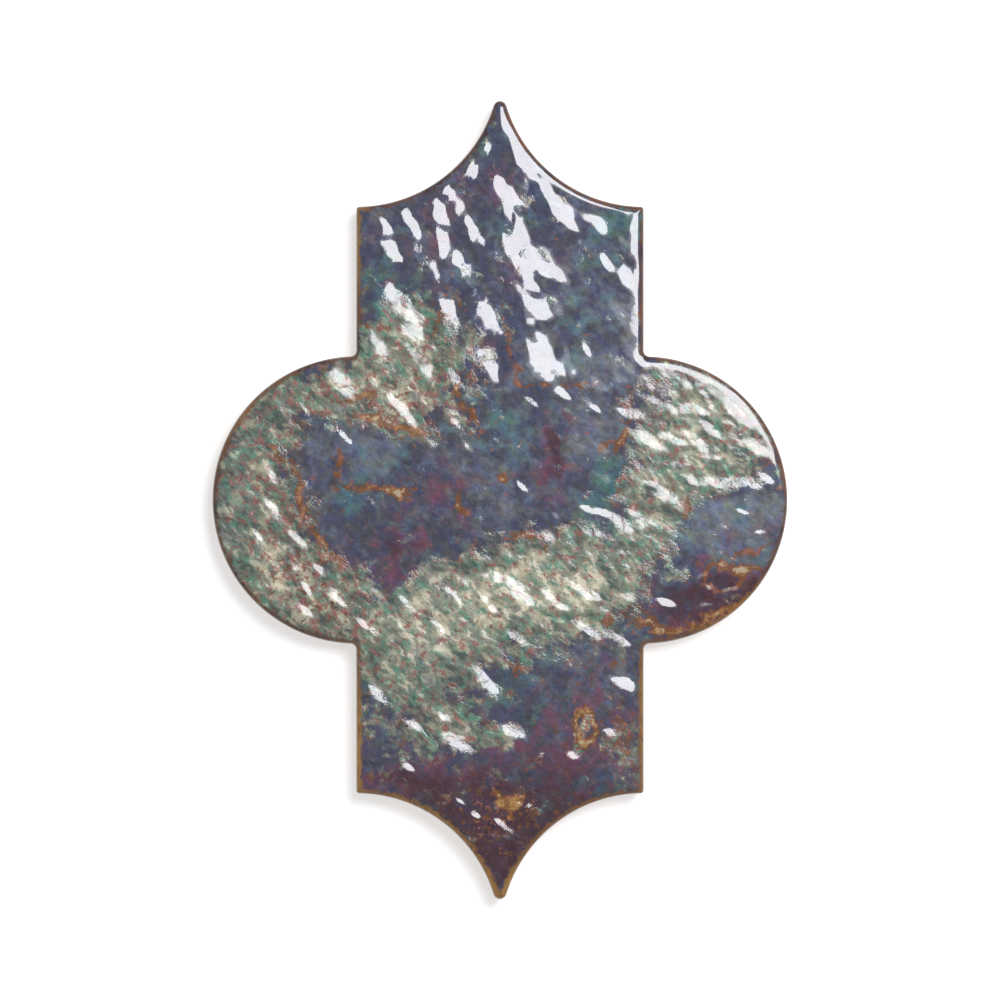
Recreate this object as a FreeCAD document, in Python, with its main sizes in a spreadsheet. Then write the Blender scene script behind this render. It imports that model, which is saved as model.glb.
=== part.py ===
"""Arabesque wall tile: one pressed and fired piece of glazed clay.

Seen from above, two half-round lobes stand out at the sides of a straight neck, and each end of the
neck closes in two hollow arcs that meet in a blunt tip. The hollow arcs have the radius of the
lobes, which lets the shape interlock. The inward corners and the shoulders are a little rounded, as
a die leaves them. The face is rolled down all round its edge, as on a cushioned tile, and the back
has shallow key grooves for adhesive.

Frame, in millimetres: the origin is the centre of the back, +Z points out of the face, +Y from the
centre to one tip and +X to one lobe. The tile lies on its back. The outline is the same in all four
quarters, so one quarter is modelled and mirrored twice.
"""

import FreeCAD, Part
import math
import os

import Sketcher

V = FreeCAD.Vector

SIZES = [
    ("tile_length", 200.0, "tip to tip"),
    ("neck_width", 72.0, "across the straight neck"),
    ("lobe_radius", 36.0, "half round at each side, centred on the edge of the neck"),
    ("shoulder_span", 147.0, "shoulder to shoulder along the neck, before they are rounded"),
    ("tip_radius", 1.7, "blunt end of each tip, seen from above"),
    ("corner_radius", 1.5, "in the inward corner between neck and lobe"),
    ("shoulder_radius", 0.8, "on the shoulder, between neck and hollow arc"),
    ("tile_thickness", 9.0, "back to face"),
    ("roll_width", 3.0, "band along the edge in which the face rolls down"),
    ("roll_drop", 1.0, "fall of the roll across that band, without the arris"),
    ("arris_radius", 0.6, "between the rolled face and the side"),
    ("foot_bevel", 0.5, "bevel between the side and the back, each way"),
    ("key_depth", 0.8, "depth of a key groove in the back"),
    ("key_width", 4.0, "width of a key groove, which has round ends"),
    ("key_pitch", 8.0, "from one key groove to the next"),
    ("key_margin", 7.0, "plain border between the grooves and the side"),
]

# Expressions that several features share. The hollow arc is level where it leaves the shoulder and
# tangent to the tip, which sets its radius. A corner's round touches the neck edge and a larger circle
# centred on that edge, so a right triangle gives how far apart their centres lie along the neck.
HALF_NECK = "sizes.neck_width / 2"
TIP_CENTRE = "sizes.tile_length / 2 - sizes.tip_radius"
HOLLOW_RADIUS = (
    "(sizes.neck_width ^ 2 / 4 + (sizes.tile_length - sizes.shoulder_span) ^ 2 / 4)"
    " / (sizes.tile_length - sizes.shoulder_span) - sizes.tip_radius"
)
HOLLOW_CENTRE = f"sizes.shoulder_span / 2 + {HOLLOW_RADIUS}"
CORNER_RISE = "sqrt(sizes.lobe_radius ^ 2 + 2 * sizes.lobe_radius * sizes.corner_radius)"
SHOULDER_DROP = f"sqrt(({HOLLOW_RADIUS}) ^ 2 + 2 * ({HOLLOW_RADIUS}) * sizes.shoulder_radius)"
SHOULDER_CENTRE = f"{HOLLOW_CENTRE} - {SHOULDER_DROP}"
ROLL_RADIUS = "(sizes.roll_width ^ 2 + sizes.roll_drop ^ 2) / (2 * sizes.roll_drop)"

# Positions on a sketched line or arc, and the two axes of a sketch.
START, END, CENTRE = 1, 2, 3
ACROSS, UP = -1, -2

doc = FreeCAD.newDocument("ArabesqueTile")
sheet = doc.addObject("Spreadsheet::Sheet", "sizes")
for row, (alias, value, meaning) in enumerate(SIZES, start=1):
    sheet.set(f"A{row}", alias)
    sheet.set(f"B{row}", str(value))
    sheet.set(f"C{row}", meaning)
    sheet.setAlias(f"B{row}", alias)
doc.recompute()


def worked_out(expression):
    """The value of an expression on the sheet, in millimetres."""
    return float(sheet.evalExpression(expression))


def origin_plane(body, role):
    """One of the body's own three planes."""
    return next(feature for feature in body.Origin.OriginFeatures if feature.Role == role)


def new_sketch(body, name, plane, place=None, turn=0.0):
    """A sketch on an origin plane. place gives expressions for its origin, and turn is about its upright."""
    sketch = body.newObject("Sketcher::SketchObject", name)
    sketch.AttachmentSupport = [(origin_plane(body, plane), "")]
    sketch.MapMode = "FlatFace"
    sketch.AttachmentOffset = FreeCAD.Placement(V(0, 0, 0), FreeCAD.Rotation(V(0, 1, 0), turn))
    for axis, expression in (place or {}).items():
        sketch.setExpression(f"AttachmentOffset.Base.{axis}", expression)
    return sketch


def line(sketch, start, end):
    """Adds a straight line and gives its number."""
    return sketch.addGeometry(Part.LineSegment(start, end))


def arc(sketch, centre, radius, one_angle, other_angle):
    """Adds an arc, which runs anticlockwise from the smaller angle, and gives its number."""
    circle = Part.Circle(centre, V(0, 0, 1), radius)
    return sketch.addGeometry(Part.ArcOfCircle(circle, *sorted((one_angle, other_angle))))


def relate(sketch, *relations):
    """Adds relations that have no size, such as ("Vertical", line)."""
    for relation in relations:
        sketch.addConstraint(Sketcher.Constraint(*relation))


def bind(sketch, name, expression, kind, *where):
    """Adds a dimension and ties it to the sheet."""
    index = sketch.addConstraint(Sketcher.Constraint(kind, *where, worked_out(expression)))
    sketch.renameConstraint(index, name)
    sketch.setExpression(f"Constraints.{name}", expression)


def quarter_outline(body):
    """A quarter of the tile from above: half a lobe, half a neck edge, a hollow arc and half a tip."""
    half_neck = worked_out(HALF_NECK)
    lobe = worked_out("sizes.lobe_radius")
    corner = worked_out("sizes.corner_radius")
    shoulder = worked_out("sizes.shoulder_radius")
    tip_height = worked_out("sizes.tile_length / 2")
    tip_centre = V(0, worked_out(TIP_CENTRE), 0)
    corner_centre = V(half_neck + corner, worked_out(CORNER_RISE), 0)
    shoulder_centre = V(half_neck - shoulder, worked_out(SHOULDER_CENTRE), 0)
    hollow_centre = V(half_neck, worked_out(HOLLOW_CENTRE), 0)
    tip_turn = math.atan2(hollow_centre.y - tip_centre.y, half_neck)
    corner_turn = math.atan2(corner_centre.y, corner)
    shoulder_turn = math.atan2(hollow_centre.y - shoulder_centre.y, shoulder)

    sketch = new_sketch(body, "quarter_outline", "XY_Plane")
    middle_across = line(sketch, V(0, 0, 0), V(half_neck + lobe, 0, 0))
    lobe_arc = arc(sketch, V(half_neck, 0, 0), lobe, 0, corner_turn)
    corner_arc = arc(sketch, corner_centre, corner, math.pi, math.pi + corner_turn)
    neck_edge = line(sketch, V(half_neck, corner_centre.y, 0), V(half_neck, shoulder_centre.y, 0))
    shoulder_arc = arc(sketch, shoulder_centre, shoulder, 0, shoulder_turn)
    hollow_radius = worked_out(HOLLOW_RADIUS)
    hollow_arc = arc(sketch, hollow_centre, hollow_radius, math.pi + tip_turn, math.pi + shoulder_turn)
    tip_arc = arc(sketch, tip_centre, worked_out("sizes.tip_radius"), tip_turn, math.pi / 2)
    middle_along = line(sketch, V(0, tip_height, 0), V(0, 0, 0))
    relate(
        sketch,
        ("Coincident", middle_across, END, lobe_arc, START),
        ("Tangent", lobe_arc, END, corner_arc, END),
        ("Tangent", corner_arc, START, neck_edge, START),
        ("Tangent", neck_edge, END, shoulder_arc, START),
        ("Tangent", shoulder_arc, END, hollow_arc, END),
        ("Tangent", hollow_arc, START, tip_arc, START),
        ("Coincident", tip_arc, END, middle_along, START),
        ("Coincident", middle_along, END, middle_across, START),
        ("Coincident", middle_across, START, ACROSS, START),
        ("Horizontal", middle_across),
        ("Vertical", neck_edge),
        ("Vertical", middle_along),
        ("PointOnObject", lobe_arc, CENTRE, ACROSS),
        ("Vertical", lobe_arc, CENTRE, neck_edge, START),
        ("Vertical", hollow_arc, CENTRE, neck_edge, END),
        ("PointOnObject", tip_arc, CENTRE, UP),
    )
    bind(sketch, "half_neck", HALF_NECK, "DistanceX", ACROSS, START, neck_edge, START)
    bind(sketch, "hollow_level", HOLLOW_CENTRE, "DistanceY", ACROSS, START, hollow_arc, CENTRE)
    bind(sketch, "tip_height", "sizes.tile_length / 2", "DistanceY", ACROSS, START, middle_along, START)
    bind(sketch, "lobe", "sizes.lobe_radius", "Radius", lobe_arc)
    bind(sketch, "corner", "sizes.corner_radius", "Radius", corner_arc)
    bind(sketch, "shoulder", "sizes.shoulder_radius", "Radius", shoulder_arc)
    bind(sketch, "tip", "sizes.tip_radius", "Radius", tip_arc)
    return sketch


def clay_slab(body):
    """The quarter as a plain slab, bevelled at its foot, where the side meets the back."""
    slab = body.newObject("PartDesign::Pad", "clay_slab")
    slab.Profile = quarter_outline(body)
    slab.setExpression("Length", "sizes.tile_thickness")
    doc.recompute()
    foot = body.newObject("PartDesign::Chamfer", "foot")
    foot.Base = (slab, [f"Edge{n}" for n, edge in enumerate(slab.Shape.Edges, 1) if is_foot(edge)])
    foot.setExpression("Size", "sizes.foot_bevel")
    doc.recompute()


def is_foot(edge):
    """Whether an edge of the quarter slab lies on the back and is not on a mirror plane."""
    box = edge.BoundBox
    on_back = box.ZMax < 0.001
    on_mirror = box.XMax < 0.001 or box.YMax < 0.001
    return on_back and not on_mirror


def roll_section(body, name, plane, place, wall, turn, inland):
    """The section of the clay that is taken off over the edge, on an upright plane.

    A large arc leaves the flat face level and comes down towards the side, and a small one, the
    arris, turns it into the side. place says where the section's own upright axis stands, and wall
    is the distance from there to the side. inland is 1 where the clay lies further out from the axis
    than the side, -1 where it lies nearer, and 0 at a tip or shoulder, which is so narrow that the
    roll meets its axis before it is level.
    """
    face = worked_out("sizes.tile_thickness")
    width = worked_out("sizes.roll_width")
    arris = worked_out("sizes.arris_radius")
    ceiling = face + worked_out("sizes.roll_drop")
    radius = worked_out(ROLL_RADIUS)
    side = worked_out(wall)
    towards = inland or -1
    roll_centre = V(side + towards * width, face - radius, 0)
    climb = math.sqrt((radius - arris) ** 2 - (width - arris) ** 2)
    arris_centre = V(side + towards * arris, roll_centre.y + climb, 0)
    meet = math.atan2(climb, arris_centre.x - roll_centre.x)
    top = math.pi / 2 if inland else math.acos(-roll_centre.x / radius)
    lip = roll_centre + V(radius * math.cos(top), radius * math.sin(top), 0)
    upper, lower = (START, END) if towards > 0 else (END, START)

    sketch = new_sketch(body, name, plane, place, turn)
    roll = arc(sketch, roll_centre, radius, top, meet)
    corner = arc(sketch, arris_centre, arris, meet, math.pi if towards > 0 else 0)
    above_lip = line(sketch, lip, V(lip.x, ceiling, 0))
    over = line(sketch, V(lip.x, ceiling, 0), V(side, ceiling, 0))
    along_side = line(sketch, V(side, ceiling, 0), V(side, arris_centre.y, 0))
    relate(
        sketch,
        ("Coincident", roll, upper, above_lip, START),
        ("Coincident", above_lip, END, over, START),
        ("Coincident", over, END, along_side, START),
        ("Tangent", roll, lower, corner, upper),
        ("Tangent", corner, lower, along_side, END),
        ("Vertical", above_lip),
        ("Horizontal", over),
    )
    if side:
        relate(sketch, ("Vertical", along_side))
        bind(sketch, "side", wall, "DistanceX", ACROSS, START, along_side, END)
    else:
        relate(sketch, ("PointOnObject", along_side, START, UP), ("PointOnObject", along_side, END, UP))
    if inland:
        relate(sketch, ("Vertical", roll, CENTRE, above_lip, START))
        lip_place = f"{wall} + {towards} * sizes.roll_width"
        bind(sketch, "lip", lip_place, "DistanceX", ACROSS, START, above_lip, START)
    else:
        relate(sketch, ("PointOnObject", above_lip, START, UP))
        bind(sketch, "past_axis", f"sizes.roll_width - {wall}", "DistanceX", roll, CENTRE, ACROSS, START)
    level = f"sizes.tile_thickness - {ROLL_RADIUS}"
    bind(sketch, "level", level, "DistanceY", ACROSS, START, roll, CENTRE)
    bind(sketch, "roll", ROLL_RADIUS, "Radius", roll)
    bind(sketch, "arris", "sizes.arris_radius", "Radius", corner)
    bind(sketch, "ceiling", "sizes.tile_thickness + sizes.roll_drop", "DistanceY", ACROSS, START, over, END)
    return sketch


def turned_roll(body, name, plane, place, wall, turn, inland, sweep, both_ways=False):
    """Rolls the face down along a round stretch of the edge, by turning the section about its axis.

    sweep is an expression for the angle, which both_ways puts half to each side of the plane.
    """
    section = roll_section(body, f"{name}_section", plane, place, wall, turn, inland)
    groove = body.newObject("PartDesign::Groove", name)
    groove.Profile = section
    groove.ReferenceAxis = (section, ["V_Axis"])
    groove.Midplane = both_ways
    groove.setExpression("Angle", sweep)
    doc.recompute()


def straight_roll(body, name, place):
    """Rolls the face down along the straight edge of the neck, and on past the shoulder."""
    pocket = body.newObject("PartDesign::Pocket", name)
    pocket.Profile = roll_section(body, f"{name}_section", "XZ_Plane", place, "0", 180.0, 1)
    pocket.Reversed = True
    pocket.setExpression("Length", f"sizes.tile_length / 2 - {CORNER_RISE}")
    doc.recompute()


def rolled_edge(body):
    """The roll along each stretch of the quarter's edge, lobe first and tip last."""
    lobe_axis = {"x": HALF_NECK}
    corner_axis = {"x": f"{HALF_NECK} + sizes.corner_radius", "z": f"-{CORNER_RISE}"}
    neck_foot = {"x": HALF_NECK, "z": f"-{CORNER_RISE}"}
    shoulder_axis = {"x": f"{HALF_NECK} - sizes.shoulder_radius", "z": f"-({SHOULDER_CENTRE})"}
    hollow_axis = {"x": HALF_NECK, "z": f"-({HOLLOW_CENTRE})"}
    tip_axis = {"x": TIP_CENTRE}
    corner_sweep = f"atan({CORNER_RISE} / sizes.corner_radius)"
    shoulder_sweep = f"atan({SHOULDER_DROP} / sizes.shoulder_radius)"
    tip_sweep = f"180 deg - 2 * atan(({HOLLOW_CENTRE} - ({TIP_CENTRE})) / ({HALF_NECK}))"
    turned_roll(body, "lobe_roll", "XZ_Plane", lobe_axis, "sizes.lobe_radius", 0.0, -1, corner_sweep)
    turned_roll(body, "corner_roll", "XZ_Plane", corner_axis, "sizes.corner_radius", 180.0, 1, corner_sweep)
    straight_roll(body, "neck_roll", neck_foot)
    shoulder = "sizes.shoulder_radius"
    turned_roll(body, "shoulder_roll", "XZ_Plane", shoulder_axis, shoulder, 0.0, 0, shoulder_sweep)
    turned_roll(body, "hollow_roll", "XZ_Plane", hollow_axis, HOLLOW_RADIUS, 180.0, 1, shoulder_sweep)
    turned_roll(body, "tip_roll", "YZ_Plane", tip_axis, "sizes.tip_radius", 0.0, 0, tip_sweep, both_ways=True)


def key_grooves(body):
    """Shallow round-ended grooves across the back. One land runs through the centre."""
    pitch = worked_out("sizes.key_pitch")
    half_width = worked_out("sizes.key_width / 2")
    last = worked_out("sizes.shoulder_span / 2 - sizes.key_margin") - half_width
    lobe_reach = "(sizes.lobe_radius - sizes.key_margin - sizes.key_width / 2)"
    neck_end = "sizes.neck_width / 2 - sizes.key_margin - sizes.key_width / 2"
    sketch = new_sketch(body, "key_grooves_outline", "XY_Plane")
    for number in range(int(last / pitch + 0.5)):
        place = f"{number + 0.5} * sizes.key_pitch"
        height = worked_out(place)
        end_place = neck_end
        if height < worked_out(lobe_reach):
            end_place = f"{HALF_NECK} + sqrt({lobe_reach} ^ 2 - ({place}) ^ 2)"
        end_centre = V(worked_out(end_place), height, 0)
        across = V(0, half_width, 0)
        low = line(sketch, V(0, height, 0) - across, end_centre - across)
        end = arc(sketch, end_centre, half_width, -math.pi / 2, math.pi / 2)
        high = line(sketch, end_centre + across, V(0, height, 0) + across)
        middle = line(sketch, V(0, height, 0) + across, V(0, height, 0) - across)
        relate(
            sketch,
            ("Tangent", low, END, end, START),
            ("Tangent", end, END, high, START),
            ("Coincident", high, END, middle, START),
            ("Coincident", middle, END, low, START),
            ("Horizontal", low),
            ("PointOnObject", middle, START, UP),
            ("PointOnObject", middle, END, UP),
        )
        bind(sketch, f"end_{number}", end_place, "DistanceX", ACROSS, START, end, CENTRE)
        bind(sketch, f"place_{number}", place, "DistanceY", ACROSS, START, end, CENTRE)
        bind(sketch, f"half_width_{number}", "sizes.key_width / 2", "Radius", end)
    grooves = body.newObject("PartDesign::Pocket", "key_grooves")
    grooves.Profile = sketch
    grooves.Reversed = True
    grooves.setExpression("Length", "sizes.key_depth")
    doc.recompute()


def mirrored(body, name, plane):
    """Adds the mirror image of all that the body has so far."""
    mirror = body.newObject("PartDesign::Mirrored", name)
    mirror.TransformMode = "Whole shape"
    mirror.MirrorPlane = (origin_plane(body, plane), [""])
    body.Tip = mirror
    doc.recompute()


def check():
    """Stops the build if a feature failed or the tile isn't one closed solid of the stated size."""
    failed = [o.Name for o in doc.Objects if {"Invalid", "Error"} & set(o.State)]
    if failed:
        raise RuntimeError(f"these features failed: {failed}")
    shape = tile.Shape
    if shape.isNull() or not shape.isValid() or len(shape.Solids) != 1:
        raise RuntimeError("the tile isn't one valid solid")
    box = shape.optimalBoundingBox(False, False)
    print(f"tile {box.XLength:.2f} x {box.YLength:.2f} x {box.ZLength:.2f} mm")
    print(f"{shape.Volume / 1000:.1f} cm3, {len(shape.Faces)} faces")


tile = doc.addObject("PartDesign::Body", "arabesque_tile")
clay_slab(tile)
rolled_edge(tile)
key_grooves(tile)
mirrored(tile, "left_half", "YZ_Plane")
mirrored(tile, "near_half", "XZ_Plane")
doc.recompute()
check()

os.makedirs("parts", exist_ok=True)
tile.Shape.exportStep(f"parts/{tile.Label}.step")
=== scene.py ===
# %% [markdown]
# # A lantern-shaped tile under a reactive glaze
# This lesson dresses one pressed clay tile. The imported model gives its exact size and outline. What
# is missing is all that the kiln does: a lumpy, glossy coat of glaze whose colours have separated
# into navy, violet, sea green and cream, rust where the coat is thin, and bare clay where it stopped.
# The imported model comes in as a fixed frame, and everything is made in that frame.

import math

import bpy
import numpy as np
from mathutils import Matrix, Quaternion, Vector
from mathutils.geometry import delaunay_2d_cdt


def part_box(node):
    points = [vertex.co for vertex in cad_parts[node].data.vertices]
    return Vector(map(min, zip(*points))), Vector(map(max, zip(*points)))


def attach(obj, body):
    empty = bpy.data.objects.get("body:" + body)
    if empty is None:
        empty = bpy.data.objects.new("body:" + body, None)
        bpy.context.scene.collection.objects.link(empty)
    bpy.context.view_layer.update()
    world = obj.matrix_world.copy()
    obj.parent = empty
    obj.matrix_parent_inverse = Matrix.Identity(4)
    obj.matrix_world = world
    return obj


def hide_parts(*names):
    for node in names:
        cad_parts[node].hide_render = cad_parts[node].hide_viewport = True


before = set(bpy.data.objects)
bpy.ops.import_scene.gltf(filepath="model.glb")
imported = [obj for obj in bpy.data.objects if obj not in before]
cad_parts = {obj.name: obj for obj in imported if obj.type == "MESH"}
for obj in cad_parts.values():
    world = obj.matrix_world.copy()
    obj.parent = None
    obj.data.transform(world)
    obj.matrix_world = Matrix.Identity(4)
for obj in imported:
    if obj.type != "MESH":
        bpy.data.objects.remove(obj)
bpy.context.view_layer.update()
low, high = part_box("arabesque_tile")
MM = 0.001
WIDTH = (high.x - low.x) / MM
LENGTH = (high.y - low.y) / MM
THICKNESS = (high.z - low.z) / MM
print(f"the clay is {WIDTH:.1f} x {LENGTH:.1f} x {THICKNESS:.1f} mm")

# %% [markdown]
# ## Sizes
# The real tile is designed with a handful of sizes, and the script repeats them in millimetres. The
# lobe's radius is a quarter of the width, because the lobe stands on the edge of a neck that is half
# as wide as the tile. The hollow arc leaves the shoulder level and runs smoothly into the tip, and a
# right triangle gives its radius. Small rounds sit in the inward corners and on the shoulders.
# The places of the eye and of the lamp are kept here too, because the face is shaped so that it
# mirrors the lamp into the eye.

# %% Driving sizes and what follows from them
LOBE = WIDTH / 4
HALF_NECK = WIDTH / 2 - LOBE
SHOULDER_LEVEL = 73.5
TIP_ROUND = 1.7
CORNER_ROUND = 1.5
SHOULDER_ROUND = 0.8
ROLL_WIDTH = 3.0
FOOT_BEVEL = 0.5
EYE = (0.0, 0.0, 1000.0)
LAMP = (210.0, 210.0, 540.0)

TIP_RISE = LENGTH / 2 - SHOULDER_LEVEL
HOLLOW = (HALF_NECK**2 + TIP_RISE**2) / (2 * TIP_RISE) - TIP_ROUND
HOLLOW_CENTRE = SHOULDER_LEVEL + HOLLOW
CORNER_CENTRE = math.sqrt(LOBE**2 + 2 * LOBE * CORNER_ROUND)
SHOULDER_CENTRE = HOLLOW_CENTRE - math.sqrt(HOLLOW**2 + 2 * HOLLOW * SHOULDER_ROUND)
TIP_CENTRE = LENGTH / 2 - TIP_ROUND
CORNER_TURN = math.atan2(CORNER_CENTRE, CORNER_ROUND)
SHOULDER_TURN = math.atan2(HOLLOW_CENTRE - SHOULDER_CENTRE, SHOULDER_ROUND)
TIP_TURN = math.atan2(HOLLOW_CENTRE - TIP_CENTRE, HALF_NECK)
print(f"hollow arcs of {HOLLOW:.2f} mm beside lobes of {LOBE:.2f} mm")

# %% [markdown]
# ## The outline as a row of stretches
# A grid that follows the outline needs two closed loops with equally many points: the edge itself,
# and a second loop 4 mm further in, where the face is level. One quarter is enough, because the
# other three are its mirror images. The edge also keeps the direction that points out of the tile,
# which the side and the foot need later.

# %% Points along one quarter, and the whole loop from it
BORDER = 4.0
RIGHT, UP = 0.0, math.pi / 2
DIAGONAL = math.pi / 4


def bend(centre, radius, start, stop, cells, side=1):
    """Points on a circle between two angles, and the ways out of the tile, inwards for side -1."""
    turn = np.linspace(start, stop, cells + 1)
    way = np.stack([np.cos(turn), np.sin(turn)], axis=1)
    return np.array(centre) + radius * way, side * way


def straight(start, stop, cells):
    """Points at equal steps along the neck, whose way out is to the right."""
    points = np.linspace(start, stop, cells + 1)
    return points, np.tile([1.0, 0.0], (cells + 1, 1))


def chained(stretches):
    """One row of points and ways out, where each stretch starts at the last one's end."""
    parts = [(points[:-1], ways[:-1]) for points, ways in stretches[:-1]] + [stretches[-1]]
    return np.concatenate([p for p, _ in parts]), np.concatenate([w for _, w in parts])


def all_round(quarter):
    """The closed loop, anticlockwise from the right lobe's middle: the quarter and its three images."""
    across, along = np.array([-1, 1]), np.array([1, -1])
    turns = [quarter, quarter[::-1] * across, -quarter, quarter[::-1] * along]
    return np.concatenate([turn[:-1] for turn in turns])


def edge_quarter():
    """The edge from lobe to tip, with short steps round the corner, the shoulder and the tip."""
    corner = (HALF_NECK + CORNER_ROUND, CORNER_CENTRE)
    corner_middle = math.pi + CORNER_TURN / 2
    shoulder = (HALF_NECK - SHOULDER_ROUND, SHOULDER_CENTRE)
    hollow_start, hollow_stop = math.pi + SHOULDER_TURN, math.pi + TIP_TURN
    return chained([
        bend((HALF_NECK, 0), LOBE, RIGHT, DIAGONAL, 50),
        bend((HALF_NECK, 0), LOBE, DIAGONAL, CORNER_TURN, 38),
        bend(corner, CORNER_ROUND, math.pi + CORNER_TURN, corner_middle, 4, -1),
        bend(corner, CORNER_ROUND, corner_middle, math.pi, 4, -1),
        straight((HALF_NECK, CORNER_CENTRE), (HALF_NECK, SHOULDER_CENTRE), 48),
        bend(shoulder, SHOULDER_ROUND, RIGHT, SHOULDER_TURN / 2, 4),
        bend(shoulder, SHOULDER_ROUND, SHOULDER_TURN / 2, SHOULDER_TURN, 4),
        bend((HALF_NECK, HOLLOW_CENTRE), HOLLOW, hollow_start, hollow_stop, 42, -1),
        bend((0, TIP_CENTRE), TIP_ROUND, TIP_TURN, UP, 4),
    ])


def border_quarter():
    """The same stretches 4 mm further in, where neck and hollow arc already meet in a mitre."""
    corner = (HALF_NECK + CORNER_ROUND, CORNER_CENTRE)
    corner_middle = math.pi + CORNER_TURN / 2
    inner_corner = CORNER_ROUND + BORDER
    inner_hollow = HOLLOW + BORDER
    mitre_drop = math.sqrt(inner_hollow**2 - BORDER**2)
    tip_drop = math.sqrt(inner_hollow**2 - HALF_NECK**2)
    neck = HALF_NECK - BORDER
    hollow_start = math.pi + math.atan2(mitre_drop, BORDER)
    hollow_stop = math.pi + math.atan2(tip_drop, HALF_NECK)
    return chained([
        bend((HALF_NECK, 0), LOBE - BORDER, RIGHT, DIAGONAL, 50),
        bend((HALF_NECK, 0), LOBE - BORDER, DIAGONAL, CORNER_TURN, 36),
        bend(corner, inner_corner, math.pi + CORNER_TURN, corner_middle, 6),
        bend(corner, inner_corner, corner_middle, math.pi, 6),
        straight((neck, CORNER_CENTRE), (neck, HOLLOW_CENTRE - mitre_drop), 50),
        bend((HALF_NECK, HOLLOW_CENTRE), inner_hollow, hollow_start, hollow_stop, 50),
    ])


edge, way_out = (all_round(part) for part in edge_quarter())
border = all_round(border_quarter()[0])
print(f"{len(edge)} points around the edge and {len(border)} around the border")

# %% [markdown]
# ## How far in
# The roll of the edge, the thin rim and the lumps all depend on how far a point lies inside the
# outline. Searching for the nearest of many edge points would be slow and rough. The outline is made
# of arcs and straights, though, and the distance to those is a formula: each stretch owns the points
# in front of it, and the nearest stretch wins.

# %% Distance from the edge


def inset(points):
    """Distance from each point to the edge: radius less distance on a lobe, the reverse in a hollow."""
    x, y = np.abs(points).T
    right, up = x - HALF_NECK, HOLLOW_CENTRE - y
    corner_right, corner_up = HALF_NECK + CORNER_ROUND - x, CORNER_CENTRE - y
    round_right, round_up = x - HALF_NECK + SHOULDER_ROUND, y - SHOULDER_CENTRE
    lobe_angle = np.arctan2(y, right)
    corner_angle = np.arctan2(corner_up, corner_right)
    shoulder_angle = np.arctan2(round_up, round_right)
    hollow_angle = np.arctan2(up, -right)
    tip_angle = np.arctan2(y - TIP_CENTRE, x)
    on_lobe = (right >= 0) & (lobe_angle <= CORNER_TURN)
    in_corner = (corner_angle >= 0) & (corner_angle <= CORNER_TURN)
    on_neck = (y >= CORNER_CENTRE) & (y <= SHOULDER_CENTRE)
    on_shoulder = (shoulder_angle >= 0) & (shoulder_angle <= SHOULDER_TURN)
    in_hollow = (hollow_angle >= TIP_TURN) & (hollow_angle <= SHOULDER_TURN)
    stretches = [
        (on_lobe, LOBE - np.hypot(right, y)),
        (in_corner, np.hypot(corner_right, corner_up) - CORNER_ROUND),
        (on_neck, HALF_NECK - x),
        (on_shoulder, SHOULDER_ROUND - np.hypot(round_right, round_up)),
        (in_hollow, np.hypot(right, up) - HOLLOW),
        (tip_angle >= TIP_TURN, TIP_ROUND - np.hypot(x, y - TIP_CENTRE)),
    ]
    nearest = np.min([np.where(owned, depth, LENGTH) for owned, depth in stretches], axis=0)
    return np.maximum(nearest, 0.0)


print(f"the border lies {inset(border).min():.2f} to {inset(border).max():.2f} mm inside the edge")

# %% [markdown]
# ## Lumps
# The face of a rustic tile isn't flat: it looks beaten, and the glaze pools in its hollows. A bump
# texture could fake that, but it moves nothing, and the highlights would lie on a flat face. So the
# lumps go into the mesh. Gradient noise gives smooth ones: it holds a random slope at each
# whole-numbered place and blends between the four nearest with a curve that starts and ends level.
# Soft ellipses, added up, say where something is strong.

# %% Gradient noise, soft ellipses and a smooth ramp
NOISE_CELLS = 64


def eased(share):
    """The curve 6s^5 - 15s^4 + 10s^3, level at 0 and 1."""
    return share**3 * (share * (share * 6 - 15) + 10)


def lumps(x, y, seed):
    """Gradient noise, from about -0.7 to 0.7, with one lump or dent about every unit."""
    turns = np.random.RandomState(seed).uniform(0, 2 * np.pi, (NOISE_CELLS, NOISE_CELLS))
    left, below = np.floor(x).astype(int), np.floor(y).astype(int)
    across, along = x - left, y - below

    def slope_from(right, up):
        turn = turns[(left + right) % NOISE_CELLS, (below + up) % NOISE_CELLS]
        return np.cos(turn) * (across - right) + np.sin(turn) * (along - up)

    share, rise = eased(across), eased(along)
    lower = slope_from(0, 0) * (1 - share) + slope_from(1, 0) * share
    upper = slope_from(0, 1) * (1 - share) + slope_from(1, 1) * share
    return lower * (1 - rise) + upper * rise


def turned(points, degrees):
    """The two coordinates of points, measured along a direction and across it."""
    turn = math.radians(degrees)
    x, y = points.T
    return x * math.cos(turn) + y * math.sin(turn), y * math.cos(turn) - x * math.sin(turn)


def ramp(value, start, stop):
    """0 up to start, 1 from stop on, and a smooth step between."""
    share = np.clip((value - start) / (stop - start), 0, 1)
    return share * share * (3 - 2 * share)


def patches(points, spots):
    """Soft ellipses added up. Each is its weight times exp(-r^2), with r in its own half-lengths."""
    total = np.zeros(len(points))
    for _, x, y, long, short, degrees, weight in spots:
        along, across = turned(points - [x, y], degrees)
        total += weight * np.exp(-((along / long) ** 2) - (across / short) ** 2)
    return total


print(f"the noise repeats after {NOISE_CELLS} lumps")
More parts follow.
